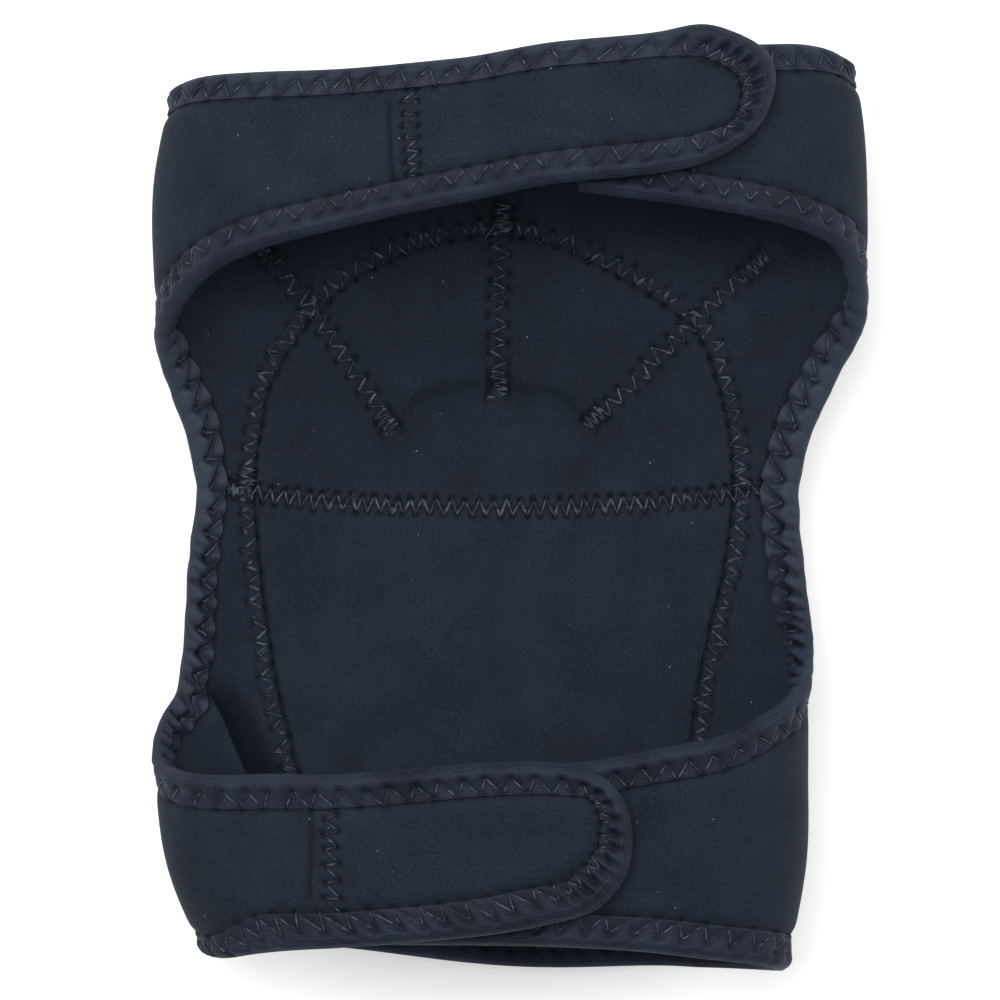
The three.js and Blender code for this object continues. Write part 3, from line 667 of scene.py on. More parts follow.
def closed_sheet(patches, outer_blocks, inner_blocks):
    """Outer places, inner places and faces of a closed sheet, from grids that meet."""
    places = np.vstack([patch.reshape(-1, 2) for patch in patches])
    _, first, number = np.unique(np.round(places, 4), axis=0, return_index=True, return_inverse=True)
    number = number.reshape(-1)
    count = len(first)
    outer, inner, start = [], [], 0
    for patch, outer_block, inner_block in zip(patches, outer_blocks, inner_blocks):
        columns, rows = patch.shape[:2]
        across = patch[1:, 1:] - patch[:-1, :-1]
        along = patch[:-1, 1:] - patch[1:, :-1]
        turn = (across[..., 0] * along[..., 1] - across[..., 1] * along[..., 0]).sum()
        for faces, block in ((outer, outer_block), (inner, inner_block)):
            for face in grid_faces(columns, rows, block):
                joined = list(dict.fromkeys(number[start + i] for i in face))
                if len(joined) > 2:
                    faces.append(joined[::-1] if turn > 0 else joined)
        start += columns * rows
    one_way = {(a, b) for face in outer for a, b in zip(face, face[1:] + face[:1])}
    rim = sorted(pair for pair in one_way if pair[::-1] not in one_way)
    faces = outer + [[i + count for i in reversed(face)] for face in inner]
    faces += [[b, a, a + count, b + count] for a, b in rim]
    used = np.unique(np.concatenate(faces))
    renumber = np.zeros(2 * count, int)
    renumber[used] = np.arange(len(used))
    kept_outer = first[used[used < count]]
    kept_inner = first[used[used >= count] - count]
    return places[kept_outer], places[kept_inner], [renumber[face].tolist() for face in faces]


def add_object(name, data):
    """Object of some data, linked to the scene."""
    thing = bpy.data.objects.new(name, data)
    bpy.context.scene.collection.objects.link(thing)
    return thing


def add_piece(name, points, faces, material):
    """Smooth mesh object from points of the drawing in millimetres."""
    mesh = bpy.data.meshes.new(name)
    mesh.from_pydata(((points + ORIGIN) * MM).tolist(), [], faces)
    mesh.shade_smooth()
    mesh.materials.append(material)
    return add_object(name, mesh)


def lay_pattern(piece, flat, painted_light_and_shade):
    """Gives a piece its flat cut as UV map, and how much painted shade it gets, to 1, or painted
    highlight, to -1.
    """
    mesh = piece.data
    corners = np.empty(len(mesh.loops), int)
    mesh.loops.foreach_get("vertex_index", corners)
    pattern = mesh.uv_layers.new(name="flat_cut")
    pattern.data.foreach_set("uv", (flat[corners] * MM).astype(np.float32).ravel())
    layer = mesh.attributes.new("painted_light_and_shade", "FLOAT", "POINT")
    layer.data.foreach_set("value", np.clip(painted_light_and_shade, -1, 1).astype(np.float32))


def linear(hex_colour):
    """Linear colour of an sRGB hex value."""
    parts = [int(hex_colour[i:i + 2], 16) / 255 for i in (1, 3, 5)]
    return tuple(c / 12.92 if c <= 0.04045 else ((c + 0.055) / 1.055) ** 2.4 for c in parts) + (1.0,)


def connect(tree, node, inputs):
    """Sets a node's inputs to values, or links them to other nodes' outputs."""
    for key, value in inputs.items():
        if isinstance(value, bpy.types.NodeSocket):
            tree.links.new(value, node.inputs[key])
        else:
            node.inputs[key].default_value = value


def add_node(tree, kind, inputs=None, **settings):
    """Node with its settings and its inputs."""
    node = tree.nodes.new(kind)
    for name, value in settings.items():
        setattr(node, name, value)
    connect(tree, node, inputs or {})
    return node


def new_material(name):
    """Material with its tree, its shader, and the place on the object that its patterns read."""
    material = bpy.data.materials.new(name)
    material.use_nodes = True
    tree = material.node_tree
    place = add_node(tree, "ShaderNodeTexCoord").outputs["Object"]
    return material, tree, tree.nodes["Principled BSDF"], place


# Knitted nylon face of the neoprene: matt dark navy, soft at grazing angles, with a fine grain, faint
# clouding, a few specks of lint, and painted shade in its seams, creases, needle holes and hollows. The
# loops are drawn at 0.9 mm, about twice their real size, so that they show.
KNIT_LOOP = 0.9 * MM
CLOUD = 14 * MM
GRAIN = 0.55 * MM
LINT_CELL = 5.5 * MM
LINT_SPECK, LINT_FREE = 0.036, 0.4  # size of a speck as a share of its cell, and share of cells without
neoprene, tree, shader, place = new_material("knitted_neoprene")
cut = add_node(tree, "ShaderNodeUVMap", uv_map="flat_cut").outputs["UV"]
loops = {"Vector": cut, "Distortion": 3.0, "Detail": 2.0, "Detail Scale": 2.0}
wale = add_node(tree, "ShaderNodeTexWave", {**loops, "Scale": 1 / KNIT_LOOP / 3.2}, bands_direction="X")
course = add_node(tree, "ShaderNodeTexWave", {**loops, "Scale": 1 / KNIT_LOOP / 2.6}, bands_direction="Y")
knit = add_node(tree, "ShaderNodeMath", {0: wale.outputs["Fac"], 1: course.outputs["Fac"]},
                operation="MULTIPLY")
grain = add_node(tree, "ShaderNodeTexNoise", {"Vector": place, "Scale": 1 / GRAIN, "Detail": 3.0})
cloud = add_node(tree, "ShaderNodeTexNoise", {"Vector": place, "Scale": 1 / CLOUD, "Detail": 4.0})
tone = add_node(tree, "ShaderNodeMath", {0: knit.outputs[0], 1: 0.1, 2: grain.outputs["Fac"]},
                operation="MULTIPLY_ADD")
tone = add_node(tree, "ShaderNodeMath", {0: cloud.outputs["Fac"], 1: 0.5, 2: tone.outputs[0]},
                operation="MULTIPLY_ADD")
share = add_node(tree, "ShaderNodeMapRange", {"Value": tone.outputs[0], "From Min": 0.45,
                 "From Max": 1.05})
cloth = add_node(tree, "ShaderNodeMix", {"Factor": share.outputs[0], 6: linear("#0d141d"),
                 7: linear("#222d3a")}, data_type="RGBA")
painted_light_and_shade = add_node(tree, "ShaderNodeAttribute", attribute_name="painted_light_and_shade").outputs["Fac"]
# Painted shade: the mark darkens the knit towards near black in seams, creases, needle holes and hollows
shaded = add_node(tree, "ShaderNodeMix", {"Factor": painted_light_and_shade, 6: cloth.outputs[2], 7: linear("#070a12")},
                  data_type="RGBA")
cell = add_node(tree, "ShaderNodeTexVoronoi", {"Vector": place, "Scale": 1 / LINT_CELL})
near_lint = add_node(tree, "ShaderNodeMath", {0: cell.outputs["Distance"], 1: LINT_SPECK},
                     operation="LESS_THAN")
chosen = add_node(tree, "ShaderNodeSeparateColor", {"Color": cell.outputs["Color"]})
some = add_node(tree, "ShaderNodeMath", {0: chosen.outputs[0], 1: LINT_FREE}, operation="GREATER_THAN")
lint = add_node(tree, "ShaderNodeMath", {0: near_lint.outputs[0], 1: some.outputs[0]},
                operation="MULTIPLY")
linted = add_node(tree, "ShaderNodeMix", {"Factor": lint.outputs[0], 6: shaded.outputs[2],
                  7: linear("#6f7880")}, data_type="RGBA")
fuzz = add_node(tree, "ShaderNodeMath", {0: knit.outputs[0], 1: 0.3, 2: grain.outputs["Fac"]},
                operation="MULTIPLY_ADD")
relief = add_node(tree, "ShaderNodeBump", {"Height": fuzz.outputs[0], "Strength": 0.5,
                  "Distance": 0.12 * MM})
connect(tree, shader, {"Base Color": linted.outputs[2], "Normal": relief.outputs["Normal"],
                       "Roughness": 0.85, "Specular IOR Level": 0.18, "Sheen Weight": 0.07,
                       "Sheen Roughness": 0.45, "Sheen Tint": linear("#aab4bd")})

# The panels' own sizes as cut: width round the leg, height, and area. Only the faces that are seen get
# the finest mesh: the outer face of strap and wing, and the inner face of the front.
PANEL_CUTS = {"thigh": (0.56, 0.12, 0.030), "shin": (0.52, 0.13, 0.032)}
for name, band in BANDS.items():
    outer, inner, faces = closed_sheet(panel_patches(name), (1, 1, 3, 3), (1, 3, 1, 1))
    outer_flat, inner_flat = flat_of(*outer.T), flat_of(*inner.T)
    outer_out, outer_dark = outer_level(outer_flat)
    inner_out, inner_dark = inner_level(name, inner_flat)
    points = np.vstack([wrapped(outer_flat, outer_out, band["rise"], outer[:, 0]),
                        wrapped(inner_flat, -inner_out, band["rise"], inner[:, 0])])
    panel = add_piece(f"{name}_panel", points, faces, neoprene)
    flat = np.vstack([outer_flat, inner_flat])
    tape_edge = np.r_[tape_width(outer_flat, 1), tape_width(inner_flat, -1)]
    # Painted shade: a dark line on the neoprene along the tape's inner edge
    tape_edge_shade = bump(nearest(edge_tree, flat)[0] - tape_edge, 0.7)
    lay_pattern(panel, flat, np.r_[outer_dark, inner_dark] + 0.5 * tape_edge_shade)
    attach(panel, "root")
    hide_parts(f"{name}_panel")
    width, height, area = PANEL_CUTS[name]

# Binding: stretch tape folded round every cut edge and sewn down with one zigzag through all layers.
# Its fold is a smooth round bead, and its faces lie flat under the stitches, which pucker the tape
# between the needle holes. It is gathered where it goes round the waist and the folds of the sleeve.
TAPE_SECTION = np.array([  # depth from the cut edge and distance from the middle of the sheet
    (7.15, 1.12), (7.22, 1.45), (7.05, 1.70), (6.6, 1.80), (6.1, 1.82), (5.6, 1.82), (5.1, 1.82),
    (4.6, 1.83), (4.1, 1.86), (3.5, 1.94), (2.9, 2.08), (2.3, 2.26), (1.6, 2.46), (0.85, 2.55),
    (0.15, 2.42), (-0.5, 2.05), (-1.05, 1.45), (-1.4, 0.75),
])
TAPE_NOSE = np.array([(-1.5, 0.0)])
TAPE_LINING = np.array([(6.0, 1.08), (3.0, 1.08), (-0.15, 1.08)])
WRINKLE, SMOOTHED = 0.95, 0.8  # depth of the wrinkles, and how smooth the outer face lies at the waist
LEAST_GATHER, TIP_GATHER = 0.45, 0.6  # on the straps, and at their tips as a share of the rest
WAIST_HIGHLIGHT, STRAP_RIM_HIGHLIGHT, WING_RIM_HIGHLIGHT = 0.6, 0.32, 0.2  # painted highlight: how much lighter the tape is coloured at the waist, where it is drawn tight, and on the rims
tape_threads, tape_needles = thread_tree(edge_chains), tree_of(np.vstack(edge_chains))
hole_swings = np.r_[long_zigzag["swing"], window_zigzag["swing"]]
hole_pulls = rng.uniform(0.7, 1.3, len(hole_swings))


def tape_bead(out, waist):
    """Distance of the tape's face from the middle of the sheet, less where the bead is gathered flat."""
    return out - 0.6 * waist * np.maximum(0, out - 1.7)


def gathers(flat):
    """How strongly the tape is gathered, from little on the straps to 1 at the waist."""
    return LEAST_GATHER + (1 - LEAST_GATHER) * np.maximum(at_waist(flat), TIP_GATHER * at_tip(flat))


def tape_relief(holes, at, depth, flat):
    """Relief of the tape at a length and depth of it, and its painted shade, from 0 to 1.

    The tape puffs up between the legs of the zigzag, most on the side of its fold, and sinks along the
    thread, most at the needle holes, with painted shade in what sinks. A painted shade line runs from
    each outer hole towards the fold.
    """
    gather = gathers(flat)
    seam = np.interp(at, holes["at"], holes["depth"])
    to_thread = nearest(tape_threads, flat)[0]
    to_hole, number = nearest(tape_needles, flat)
    pull = hole_pulls[number]
    from_seam = np.clip((seam - depth) / 1.1, -1, 1)
    on_fold, on_edge = np.clip(from_seam, 0, 1), np.clip(-from_seam, 0, 1)
    swell = (1.7 * gather - 0.4) * on_fold * np.clip((depth + 0.2 + 0.8 * gather) / 2.2, 0, 1)
    swing = np.interp(at, holes["at"], holes["swing"])
    lobe = 0.9 * (gather - 0.3) * (0.5 - swing) * on_fold
    full = 1 + (pull - 1) * (gather - LEAST_GATHER) / (1 - LEAST_GATHER)
    puff = full * (1 - bump(to_thread, 1.6)) * (swell + 1.1 * (gather - 0.3) * on_edge)
    flattened = 0.3 * on_edge * (1.3 - gather)
    valley = 0.65 * bump(to_thread, 0.6) + 0.35 * bump(to_thread, 1.3)
    valley = (0.2 + 0.6 * gather) * valley * np.clip((depth - 0.4) / 1.2, 0, 1)
    outer_hole = hole_swings[number] == 1
    pit = pull * np.where(outer_hole, 0.4 + 0.7 * gather, 0.5)
    pit = pit * bump(to_hole, np.where(outer_hole, 0.85, 0.65))
    uneven = 0.16 * np.sin(at / 1.7 + 2 * np.sin(at / 7.7)) * np.clip((3 - depth) / 3, 0, 1)
    relief = puff + lobe - flattened - valley - pit + gather * uneven
    shade = 0.25 * (gather - 0.3) * np.where(outer_hole, bump(to_hole, 2.3), 0)
    crease = np.clip(2 * swing - 1, 0, 1) ** 2 * on_fold * np.clip((depth + 2) / 4, 0.3, 1)
    shade = shade + 0.9 * (gather - LEAST_GATHER) * crease
    return relief, 0.6 * valley + 0.5 * pit + 0.2 * flattened + shade


def fold_wrinkle(at, depth, flat):
    """Slanting wrinkles, from -1 to 1, of the tape's inner face where it turns over a fold."""
    aslant = at - 0.8 * depth + 1.1 * np.sin(at / 3.7)
    return at_fold(flat) * np.sin(2 * np.pi * aslant / 4.2)


def tape_points(edge, holes):
    """Points of a folded tape in rings along an edge, their flat places and each one's painted shade or
    highlight.
    """
    mirrored = [1, -1]
    legs = np.vstack([TAPE_SECTION, TAPE_NOSE, TAPE_SECTION[::-1] * mirrored])
    section = np.vstack([legs, TAPE_LINING * mirrored, TAPE_LINING[::-1]])
    line, swing = edge["line"], np.interp(edge["at"], holes["at"], holes["swing"])
    waist, fold = at_waist(line), at_fold(line)
    rim_highlight = np.where(wrap_of(line) < 0, STRAP_RIM_HIGHLIGHT, WING_RIM_HIGHLIGHT)
    highlight = WAIST_HIGHLIGHT * waist * (1 - 0.8 * fold) + at_thigh_rim(line) * rim_highlight
    scallop = gathers(line) * (0.6 * swing - 0.45)
    rings, flats, darks = [], [], []
    for number, (depth, out) in enumerate(section):
        on_leg = number < len(legs)
        here = np.full(len(line), depth)
        if depth > 0:
            here = depth * tape_width(line, np.sign(out)) / TAPE_FACE
        relief = dark = np.zeros(len(line))
        if on_leg:
            here = here + scallop * np.clip((depth - 5.2) / 2.0, 0, 1)
        flat = line + edge["inward"] * here[:, None]
        if on_leg:
            relief, dark = tape_relief(holes, edge["at"], here, flat)
        if out >= 0:
            relief = relief * (1 - SMOOTHED * np.maximum(waist, fold))
        bead = tape_bead(abs(out), waist)
        level = np.sign(out) * (bead + np.maximum(relief, 1.1 - bead) * min(1, abs(out) / 1.5))
        if on_leg and out < 0:
            wrinkle = fold_wrinkle(edge["at"], depth, flat) * min(1, -out / 1.8)
            level = level + WRINKLE * wrinkle
            # Painted shade on the wrinkles
            dark = dark + np.clip(wrinkle, 0, 1)
        # Painted highlight along the waist and the thigh strap's rim, kept out of the painted shade
        dark = dark - highlight * np.clip(1 - 1.6 * dark, 0, 1)
        rings.append(wrapped(flat, level, edge["rise"].T))
        flats.append(np.column_stack([edge["at"], here * (1 if out >= 0 else -1)]))
        darks.append(dark)
    return np.stack(rings, 1), np.stack(flats, 1), np.stack(darks, 1)


def tube_faces(rings, points):
    """Faces of a closed tube of rings, with both ends closed."""
    number = np.arange(rings * points).reshape(rings, points)
    onward = np.roll(number, -1, axis=1)
    quads = np.stack([number[:-1], number[1:], onward[1:], onward[:-1]], -1).reshape(-1, 4)
    return quads.tolist() + [number[0].tolist(), number[-1][::-1].tolist()]


# Polyester stretch tape: dark blue-grey, a little shinier than the neoprene, with fine ribs along it. It
# is painted lighter as a highlight along the thigh strap's rim, and along the waist, where it is drawn
# tight and pales, and painted darker as shade in its puckers. The ribs are drawn at 0.9 mm, about twice
# their real size.
TAPE_RIB = 0.9 * MM
tape, tree, shader, place = new_material("stretch_binding_tape")
cut = add_node(tree, "ShaderNodeUVMap", uv_map="flat_cut").outputs["UV"]
rib = add_node(tree, "ShaderNodeTexWave", {"Vector": cut, "Scale": 1 / TAPE_RIB / 3.2, "Distortion": 2.0,
               "Detail": 2.0, "Detail Scale": 1.5}, bands_direction="Y")
grain = add_node(tree, "ShaderNodeTexNoise", {"Vector": place, "Scale": 1 / GRAIN, "Detail": 2.0})
cloud = add_node(tree, "ShaderNodeTexNoise", {"Vector": place, "Scale": 1 / CLOUD, "Detail": 4.0})
tone = add_node(tree, "ShaderNodeMath", {0: rib.outputs["Fac"], 1: 0.15, 2: cloud.outputs["Fac"]},
                operation="MULTIPLY_ADD")
tone = add_node(tree, "ShaderNodeMath", {0: grain.outputs["Fac"], 1: 0.8, 2: tone.outputs[0]},
                operation="MULTIPLY_ADD")
share = add_node(tree, "ShaderNodeMapRange", {"Value": tone.outputs[0], "From Min": 0.65,
                 "From Max": 1.3})
cloth = add_node(tree, "ShaderNodeMix", {"Factor": share.outputs[0], 6: linear("#0f151f"),
                 7: linear("#293242")}, data_type="RGBA")
painted_light_and_shade = add_node(tree, "ShaderNodeAttribute", attribute_name="painted_light_and_shade").outputs["Fac"]
# Painted shade darkens the tape in its puckers and wrinkles; a negative mark is a painted highlight
painted_highlight = add_node(tree, "ShaderNodeMath", {0: painted_light_and_shade, 1: -1.0}, operation="MULTIPLY")
highlighted = add_node(tree, "ShaderNodeMix", {"Factor": painted_highlight.outputs[0], 6: cloth.outputs[2],
                 7: linear("#3b4450")}, data_type="RGBA")
shaded = add_node(tree, "ShaderNodeMix", {"Factor": painted_light_and_shade, 6: highlighted.outputs[2], 7: linear("#080b13")},
                  data_type="RGBA")
relief = add_node(tree, "ShaderNodeBump", {"Height": tone.outputs[0], "Strength": 0.4,
                  "Distance": 0.1 * MM})
connect(tree, shader, {"Base Color": shaded.outputs[2], "Normal": relief.outputs["Normal"],
                       "Roughness": 0.62, "Specular IOR Level": 0.15, "Sheen Weight": 0.05,
                       "Sheen Roughness": 0.4, "Sheen Tint": linear("#8c9bb4")})

for name, edge, zigzag_holes in (("long_binding", long_edge, long_zigzag),
                                 ("window_binding", window_edge, window_zigzag)):
    rings, flats, darks = tape_points(edge, zigzag_holes)
    binding = add_piece(name, rings.reshape(-1, 3), tube_faces(*rings.shape[:2]), tape)
    lay_pattern(binding, flats.reshape(-1, 2), darks.reshape(-1))
    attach(binding, "root")
    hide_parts(name)

# Zigzag stitches: dark polyester thread through all layers, from needle hole to needle hole. They
# close the darts and the knee seam, hold the bell's flange and the strap tabs, and sew the tape down.
# Each stitch dives into its holes at both ends and lies almost flush with the cloth between them.
THREAD, BITE, ARCH_RISE = 0.46, 0.16, 0.14  # diameter, how deep a stitch dives and how high it arches
GLINT_LENGTH = 2.2 * MM  # length of a painted glint on the thread
GATHER_LIFT = 0.4  # how much higher the thread lies where the tape is gathered
BELL_UNEVEN, SEAM_UNEVEN = 0.45, 0.25  # how far the holes of a second row stray
# Polyester thread: dark and twisted, with painted glints: lighter patches in its colour here and there
# along its length
thread, tree, shader, place = new_material("polyester_thread")
glint_noise = add_node(tree, "ShaderNodeTexNoise", {"Vector": place, "Scale": 1 / GLINT_LENGTH, "Detail": 2.0})
painted_glint = add_node(tree, "ShaderNodeMapRange", {"Value": glint_noise.outputs["Fac"], "From Min": 0.45,
                  "From Max": 0.72})
yarn = add_node(tree, "ShaderNodeMix", {"Factor": painted_glint.outputs[0], 6: linear("#182029"),
                7: linear("#535f6e")}, data_type="RGBA")
connect(tree, shader, {"Base Color": yarn.outputs[2], "Roughness": 0.45, "Specular IOR Level": 0.25,
                       "Sheen Weight": 0.05})

stitching = bpy.data.node_groups.new("zigzag_stitches", "GeometryNodeTree")
sockets = {}
for label, kind in (("Geometry", "NodeSocketGeometry"), ("Thread diameter", "NodeSocketFloat"),
                    ("Bite", "NodeSocketFloat"), ("Rise", "NodeSocketFloat")):
    socket = stitching.interface.new_socket(name=label, in_out="INPUT", socket_type=kind)
    sockets[label] = socket.identifier
stitching.interface.new_socket(name="Geometry", in_out="OUTPUT", socket_type="NodeSocketGeometry")
given = add_node(stitching, "NodeGroupInput").outputs
path = add_node(stitching, "GeometryNodeMeshToCurve", {"Mesh": given["Geometry"]})
number = add_node(stitching, "GeometryNodeSplineParameter").outputs["Index"]
phase = add_node(stitching, "ShaderNodeMath", {0: number, 1: 4.0}, operation="MODULO")
phase = add_node(stitching, "ShaderNodeMath", {0: phase.outputs[0], 1: np.pi / 4}, operation="MULTIPLY")
arch = add_node(stitching, "ShaderNodeMath", {0: phase.outputs[0]}, operation="SINE")
travel = add_node(stitching, "ShaderNodeMath", {0: given["Bite"], 1: given["Rise"]}, operation="ADD")
height = add_node(stitching, "ShaderNodeMath", {0: arch.outputs[0], 1: travel.outputs[0]},
                  operation="MULTIPLY")
height = add_node(stitching, "ShaderNodeMath", {0: height.outputs[0], 1: given["Bite"]},
                  operation="SUBTRACT")
up = add_node(stitching, "GeometryNodeInputNamedAttribute", {"Name": "up"}, data_type="FLOAT_VECTOR")
lift = add_node(stitching, "ShaderNodeVectorMath", {0: up.outputs[0], "Scale": height.outputs[0]},
                operation="SCALE")
path = add_node(stitching, "GeometryNodeSetPosition", {"Geometry": path.outputs[0],
                "Offset": lift.outputs[0]})
radius = add_node(stitching, "ShaderNodeMath", {0: given["Thread diameter"], 1: 0.5},
                  operation="MULTIPLY")
ring = add_node(stitching, "GeometryNodeCurvePrimitiveCircle", {"Resolution": 6,
                "Radius": radius.outputs[0]})
strand = add_node(stitching, "GeometryNodeCurveToMesh", {"Curve": path.outputs[0],
                  "Profile Curve": ring.outputs[0], "Fill Caps": True})
whole = add_node(stitching, "GeometryNodeRealizeInstances", {"Geometry": strand.outputs[0]})
finished = add_node(stitching, "GeometryNodeSetMaterial", {"Geometry": whole.outputs[0],
                    "Material": thread})
add_node(stitching, "NodeGroupOutput", {"Geometry": finished.outputs[0]})


def along_stitches(values):
    """Values at needle holes, and at three places between each two of them."""
    values = np.reshape(values, (len(values), -1))
    at = np.arange(4 * (len(values) - 1) + 1) / 4
    return read_along(at, np.arange(len(values)), values)


def plain_mesh(piece, name):
    """Mesh of a piece as its modifiers leave it."""
    seen = piece.evaluated_get(bpy.context.evaluated_depsgraph_get())
    mesh = bpy.data.meshes.new_from_object(seen)
    mesh.name = name
    return mesh


def sew(name, paths):
    """Stitches along paths, each with its flat places, the face's level there, its side and its rise."""
    points, ups, edges = [], [], []
    for flat, level, side, rise in paths:
        start = sum(len(p) for p in points)
        wrap = wrap_of(flat)
        points.append(wrapped(flat, side * level, rise, wrap))
        ups.append(side * sleeve_normal(wrap, flat[:, 1]))
        edges += [(start + i, start + i + 1) for i in range(len(flat) - 1)]
    mesh = bpy.data.meshes.new(name)
    mesh.from_pydata(((np.vstack(points) + ORIGIN) * MM).tolist(), edges, [])
    layer = mesh.attributes.new("up", "FLOAT_VECTOR", "POINT")
    layer.data.foreach_set("vector", np.vstack(ups).astype(np.float32).ravel())
    guide = add_object(f"{name}_guide", mesh)
    sewing = guide.modifiers.new("sewing", "NODES")
    sewing.node_group = stitching
    sewing[sockets["Thread diameter"]] = THREAD * MM
    sewing[sockets["Bite"]] = BITE * MM
    sewing[sockets["Rise"]] = ARCH_RISE * MM
    made = plain_mesh(guide, name)
    made.shade_smooth()
    stitches = add_object(name, made)
    bpy.data.objects.remove(guide)
    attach(stitches, "root")


tape_face = TAPE_SECTION[2:][::-1]  # from the fold to the inner edge
edge_paths = []
for holes in (long_zigzag, window_zigzag):
    at, depth = along_stitches(holes["at"])[:, 0], along_stitches(holes["depth"])[:, 0]
    flat, rise = along_stitches(holes["holes"]), along_stitches(holes["rise"])
    for side in (1, -1):
        within = depth * TAPE_FACE / tape_width(flat, side)
        relief = tape_relief(holes, at, depth, flat)[0] + GATHER_LIFT * (gathers(flat) - LEAST_GATHER)
        if side > 0:
            relief = relief * (1 - SMOOTHED * np.maximum(at_waist(flat), at_fold(flat)))
        else:
            relief = relief - WRINKLE * fold_wrinkle(at, within, flat)
        level = tape_bead(np.interp(within, *tape_face.T), at_waist(flat)) + relief
        edge_paths.append((flat, level, side, rise.T))
sew("binding_stitches", edge_paths)
front_paths = []
seams = [*bell_holes.items(), *(("thigh", holes) for holes in dart_holes), ("thigh", knee_holes)]
for number, (name, holes) in enumerate(seams):
    for uneven in (0.0, BELL_UNEVEN if number < len(bell_holes) else SEAM_UNEVEN):  # sewn twice
        flat = along_stitches(holes + rng.normal(0, 1, holes.shape) * uneven)
        front_paths.append((flat, inner_level(name, flat)[0], -1, BANDS[name]["rise"]))
sew("front_stitches", front_paths)
tab_paths = []
for name, holes in tab_holes.items():
    flat = along_stitches(holes)
    tab_paths.append((flat, outer_level(flat)[0], 1, BANDS[name]["rise"]))
sew("tab_stitches", tab_paths)

# Hook tape: a moulded patch under each strap's tab, pressed into the loop face of the wing below, so
# that only its edge can be seen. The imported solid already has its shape.
HOOK_PITCH = 1.4 * MM
# Moulded nylon: black and half matt, with a pitted look from its close rows of hooks
hook_tape, tree, shader, place = new_material("moulded_hook_tape")
hooks = add_node(tree, "ShaderNodeTexVoronoi", {"Vector": place, "Scale": 1 / HOOK_PITCH,
                 "Randomness": 0.35})
plastic = add_node(tree, "ShaderNodeMix", {"Factor": hooks.outputs["Distance"], 6: linear("#1b1e22"),
                   7: linear("#0c0e10")}, data_type="RGBA")
relief = add_node(tree, "ShaderNodeBump", {"Height": hooks.outputs["Distance"], "Strength": 0.8,
                  "Distance": 0.5 * MM})
connect(tree, shader, {"Base Color": plastic.outputs[2], "Normal": relief.outputs["Normal"],
                       "Roughness": 0.5, "Specular IOR Level": 0.3})
for name in ("thigh_hook_patch", "shin_hook_patch"):
    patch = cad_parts[name]
    patch.data.materials.clear()
    patch.data.materials.append(hook_tape)

# Front cushions: foam in a woven cover, sewn to the front inside the bell outline. They are hidden in
# the photograph, so they are plain. The foam swells the cover from below, and the floor flattens it.
VOXEL = 4.5 * MM
SHRINK = 1.2 * MM  # room that the foam leaves for the swelling, at its sides and below
FILL_PRESSURE, SWELL_STEPS = 4.0, 20
SWELL_CAP = 3.0 * MM
SIDE_BELOW, SEWN_ABOVE = 0.3, 0.2  # upward share of the normal, below and above
YARN = 1.1 * MM  # twice its real size, so that it shows
# Woven nylon: dark and matt, with yarns that cross over and under each other
cover, tree, shader, place = new_material("woven_nylon_cover")
yarns = {"Vector": place, "Scale": 1 / YARN / 3.2, "Distortion": 0.4}
warp = add_node(tree, "ShaderNodeTexWave", yarns, bands_direction="X")
weft = add_node(tree, "ShaderNodeTexWave", yarns, bands_direction="Y")
weave = add_node(tree, "ShaderNodeMath", {0: warp.outputs["Fac"], 1: weft.outputs["Fac"]},
                 operation="MAXIMUM")
cloud = add_node(tree, "ShaderNodeTexNoise", {"Vector": place, "Scale": 1 / CLOUD, "Detail": 4.0})
tone = add_node(tree, "ShaderNodeMath", {0: weave.outputs[0], 1: cloud.outputs["Fac"]},
                operation="MULTIPLY")
cloth = add_node(tree, "ShaderNodeMix", {"Factor": tone.outputs[0], 6: linear("#12161c"),
                 7: linear("#262d36")}, data_type="RGBA")
relief = add_node(tree, "ShaderNodeBump", {"Height": weave.outputs[0], "Strength": 0.6,
                  "Distance": 0.2 * MM})
connect(tree, shader, {"Base Color": cloth.outputs[2], "Normal": relief.outputs["Normal"],
                       "Roughness": 0.75, "Specular IOR Level": 0.22, "Sheen Weight": 0.05})


def points_of(mesh):
    """Vertices of a mesh as an array."""
    points = np.empty(len(mesh.vertices) * 3, np.float32)
    mesh.vertices.foreach_get("co", points)
    return points.reshape(-1, 3).astype(float)


def swollen(piece, sewn):
    """Swells a piece like a filled cover that is held where it is sewn, up to the cap."""
    before = points_of(piece.data)
    group = piece.vertex_groups.new(name="sewn")
    group.add(np.flatnonzero(sewn).tolist(), 1.0, "ADD")
    cloth = piece.modifiers.new("swell", "CLOTH")
    cloth.settings.use_pressure = True
    cloth.settings.uniform_pressure_force = FILL_PRESSURE
    cloth.settings.effector_weights.gravity = 0.0
    cloth.settings.vertex_group_mass = "sewn"
    for step in range(1, SWELL_STEPS + 1):
        bpy.context.scene.frame_set(step)
    after = points_of(plain_mesh(piece, "swollen"))
    bpy.context.scene.frame_set(1)
    piece.modifiers.clear()
    piece.vertex_groups.clear()
    move = after - before
    far = np.linalg.norm(move, axis=1, keepdims=True)
    moved = before + move * np.minimum(1, SWELL_CAP / np.maximum(far, 1e-9))
    piece.data.vertices.foreach_set("co", moved.astype(np.float32).ravel())


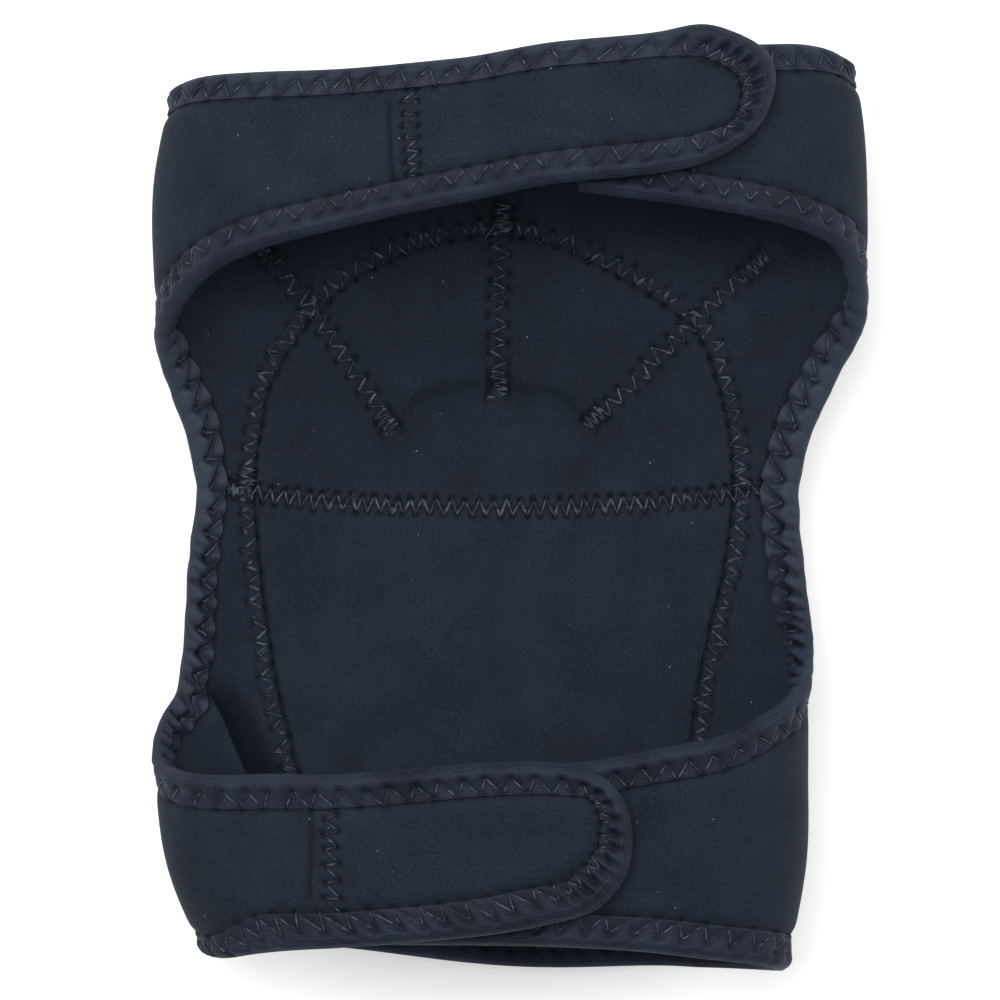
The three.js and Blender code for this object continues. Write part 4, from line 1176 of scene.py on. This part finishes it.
for name in ("knee_cushion", "shin_cushion"):
    form = bmesh.new()
    form.from_mesh(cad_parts[name].data)
    bmesh.ops.remove_doubles(form, verts=form.verts, dist=1e-5)
    bmesh.ops.recalc_face_normals(form, faces=form.faces)
    form.normal_update()
    for corner in form.verts:
        if corner.normal.z < SIDE_BELOW:
            corner.co -= corner.normal * SHRINK
    block = bpy.data.meshes.new(name)
    form.to_mesh(block)
    form.free()
    cushion = add_object(name, block)
    fine = cushion.modifiers.new("fine", "REMESH")
    fine.mode = "VOXEL"
    fine.voxel_size = VOXEL
    cushion.data = plain_mesh(cushion, name)
    cushion.modifiers.clear()
    normals = np.array([v.normal for v in cushion.data.vertices])
    swollen(cushion, normals[:, 2] > SEWN_ABOVE)
    points = points_of(cushion.data)
    points[:, 2] = np.maximum(points[:, 2], 0)
    cushion.data.vertices.foreach_set("co", points.astype(np.float32).ravel())
    finer = cushion.modifiers.new("finer", "SUBSURF")
    finer.levels = finer.render_levels = 1
    cushion.data = plain_mesh(cushion, name)
    cushion.modifiers.clear()
    cushion.data.materials.clear()
    cushion.data.materials.append(cover)
    cushion.data.shade_smooth()
    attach(cushion, "root")
    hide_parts(name)

# Studio: a plain pale floor, a soft light above and one on each side, and a camera that looks
# straight down into the open back, with the thigh at the top of the picture.
CAMERA_HEIGHT = 1.4
PIXEL_AT_MIDDLE = 0.26 * MM  # size of a pixel at the middle of the part's depth
MIDDLE_HEIGHT = 35 * MM
AIM = (-2.35 * MM, 2.2 * MM)  # place that the camera stands over
SENSOR, PICTURE = 36.0, 1000  # width in millimetres, and in pixels
floor_mesh = bpy.data.meshes.new("floor")
floor_mesh.from_pydata([(-3, -3, 0), (3, -3, 0), (3, 3, 0), (-3, 3, 0)], [], [(0, 1, 2, 3)])
floor = add_object("floor", floor_mesh)
# Uncoated paper: matt and nearly white, glowing a little so that it stays as white as in a studio
paper, tree, shader, place = new_material("pale_paper")
tooth = add_node(tree, "ShaderNodeTexNoise", {"Vector": place, "Scale": 30.0, "Detail": 3.0})
sheet_colour = add_node(tree, "ShaderNodeMix", {"Factor": tooth.outputs["Fac"], 6: linear("#f4f4f4"),
                        7: linear("#f8f8f8")}, data_type="RGBA")
connect(tree, shader, {"Base Color": sheet_colour.outputs[2], "Roughness": 0.9, "Specular IOR Level": 0.1,
                       "Emission Color": linear("#ffffff"), "Emission Strength": 0.4})
floor_mesh.materials.append(paper)

scene = bpy.context.scene
scene.view_settings.view_transform = "Standard"
world = bpy.data.worlds.new("studio")
world.use_nodes = True
connect(world.node_tree, world.node_tree.nodes["Background"],
        {"Color": (1.0, 1.0, 1.0, 1.0), "Strength": 0.24})
scene.world = world
# Soft lights: place in metres, power in watts and width in metres
SOFT_BOXES = (("over_box", (-0.25, 0.38, 1.8), 19.5, 0.9), ("left_box", (-1.4, 0.6, 1.2), 12.0, 1.2),
              ("right_box", (1.4, 0.5, 1.2), 14.0, 1.2))
for name, place, power, size in SOFT_BOXES:
    lamp = bpy.data.lights.new(name, "AREA")
    lamp.energy = power
    lamp.size = size
    light = add_object(name, lamp)
    light.location = place
    light.rotation_euler = (-Vector(place)).to_track_quat("-Z", "Y").to_euler()
lens = bpy.data.cameras.new("camera")
lens.sensor_width = SENSOR
lens.lens = SENSOR * (CAMERA_HEIGHT - MIDDLE_HEIGHT) / (PICTURE * PIXEL_AT_MIDDLE)
lens.clip_start = 0.05
camera = add_object("camera", lens)
camera.location = (*AIM, CAMERA_HEIGHT)
scene.camera = camera
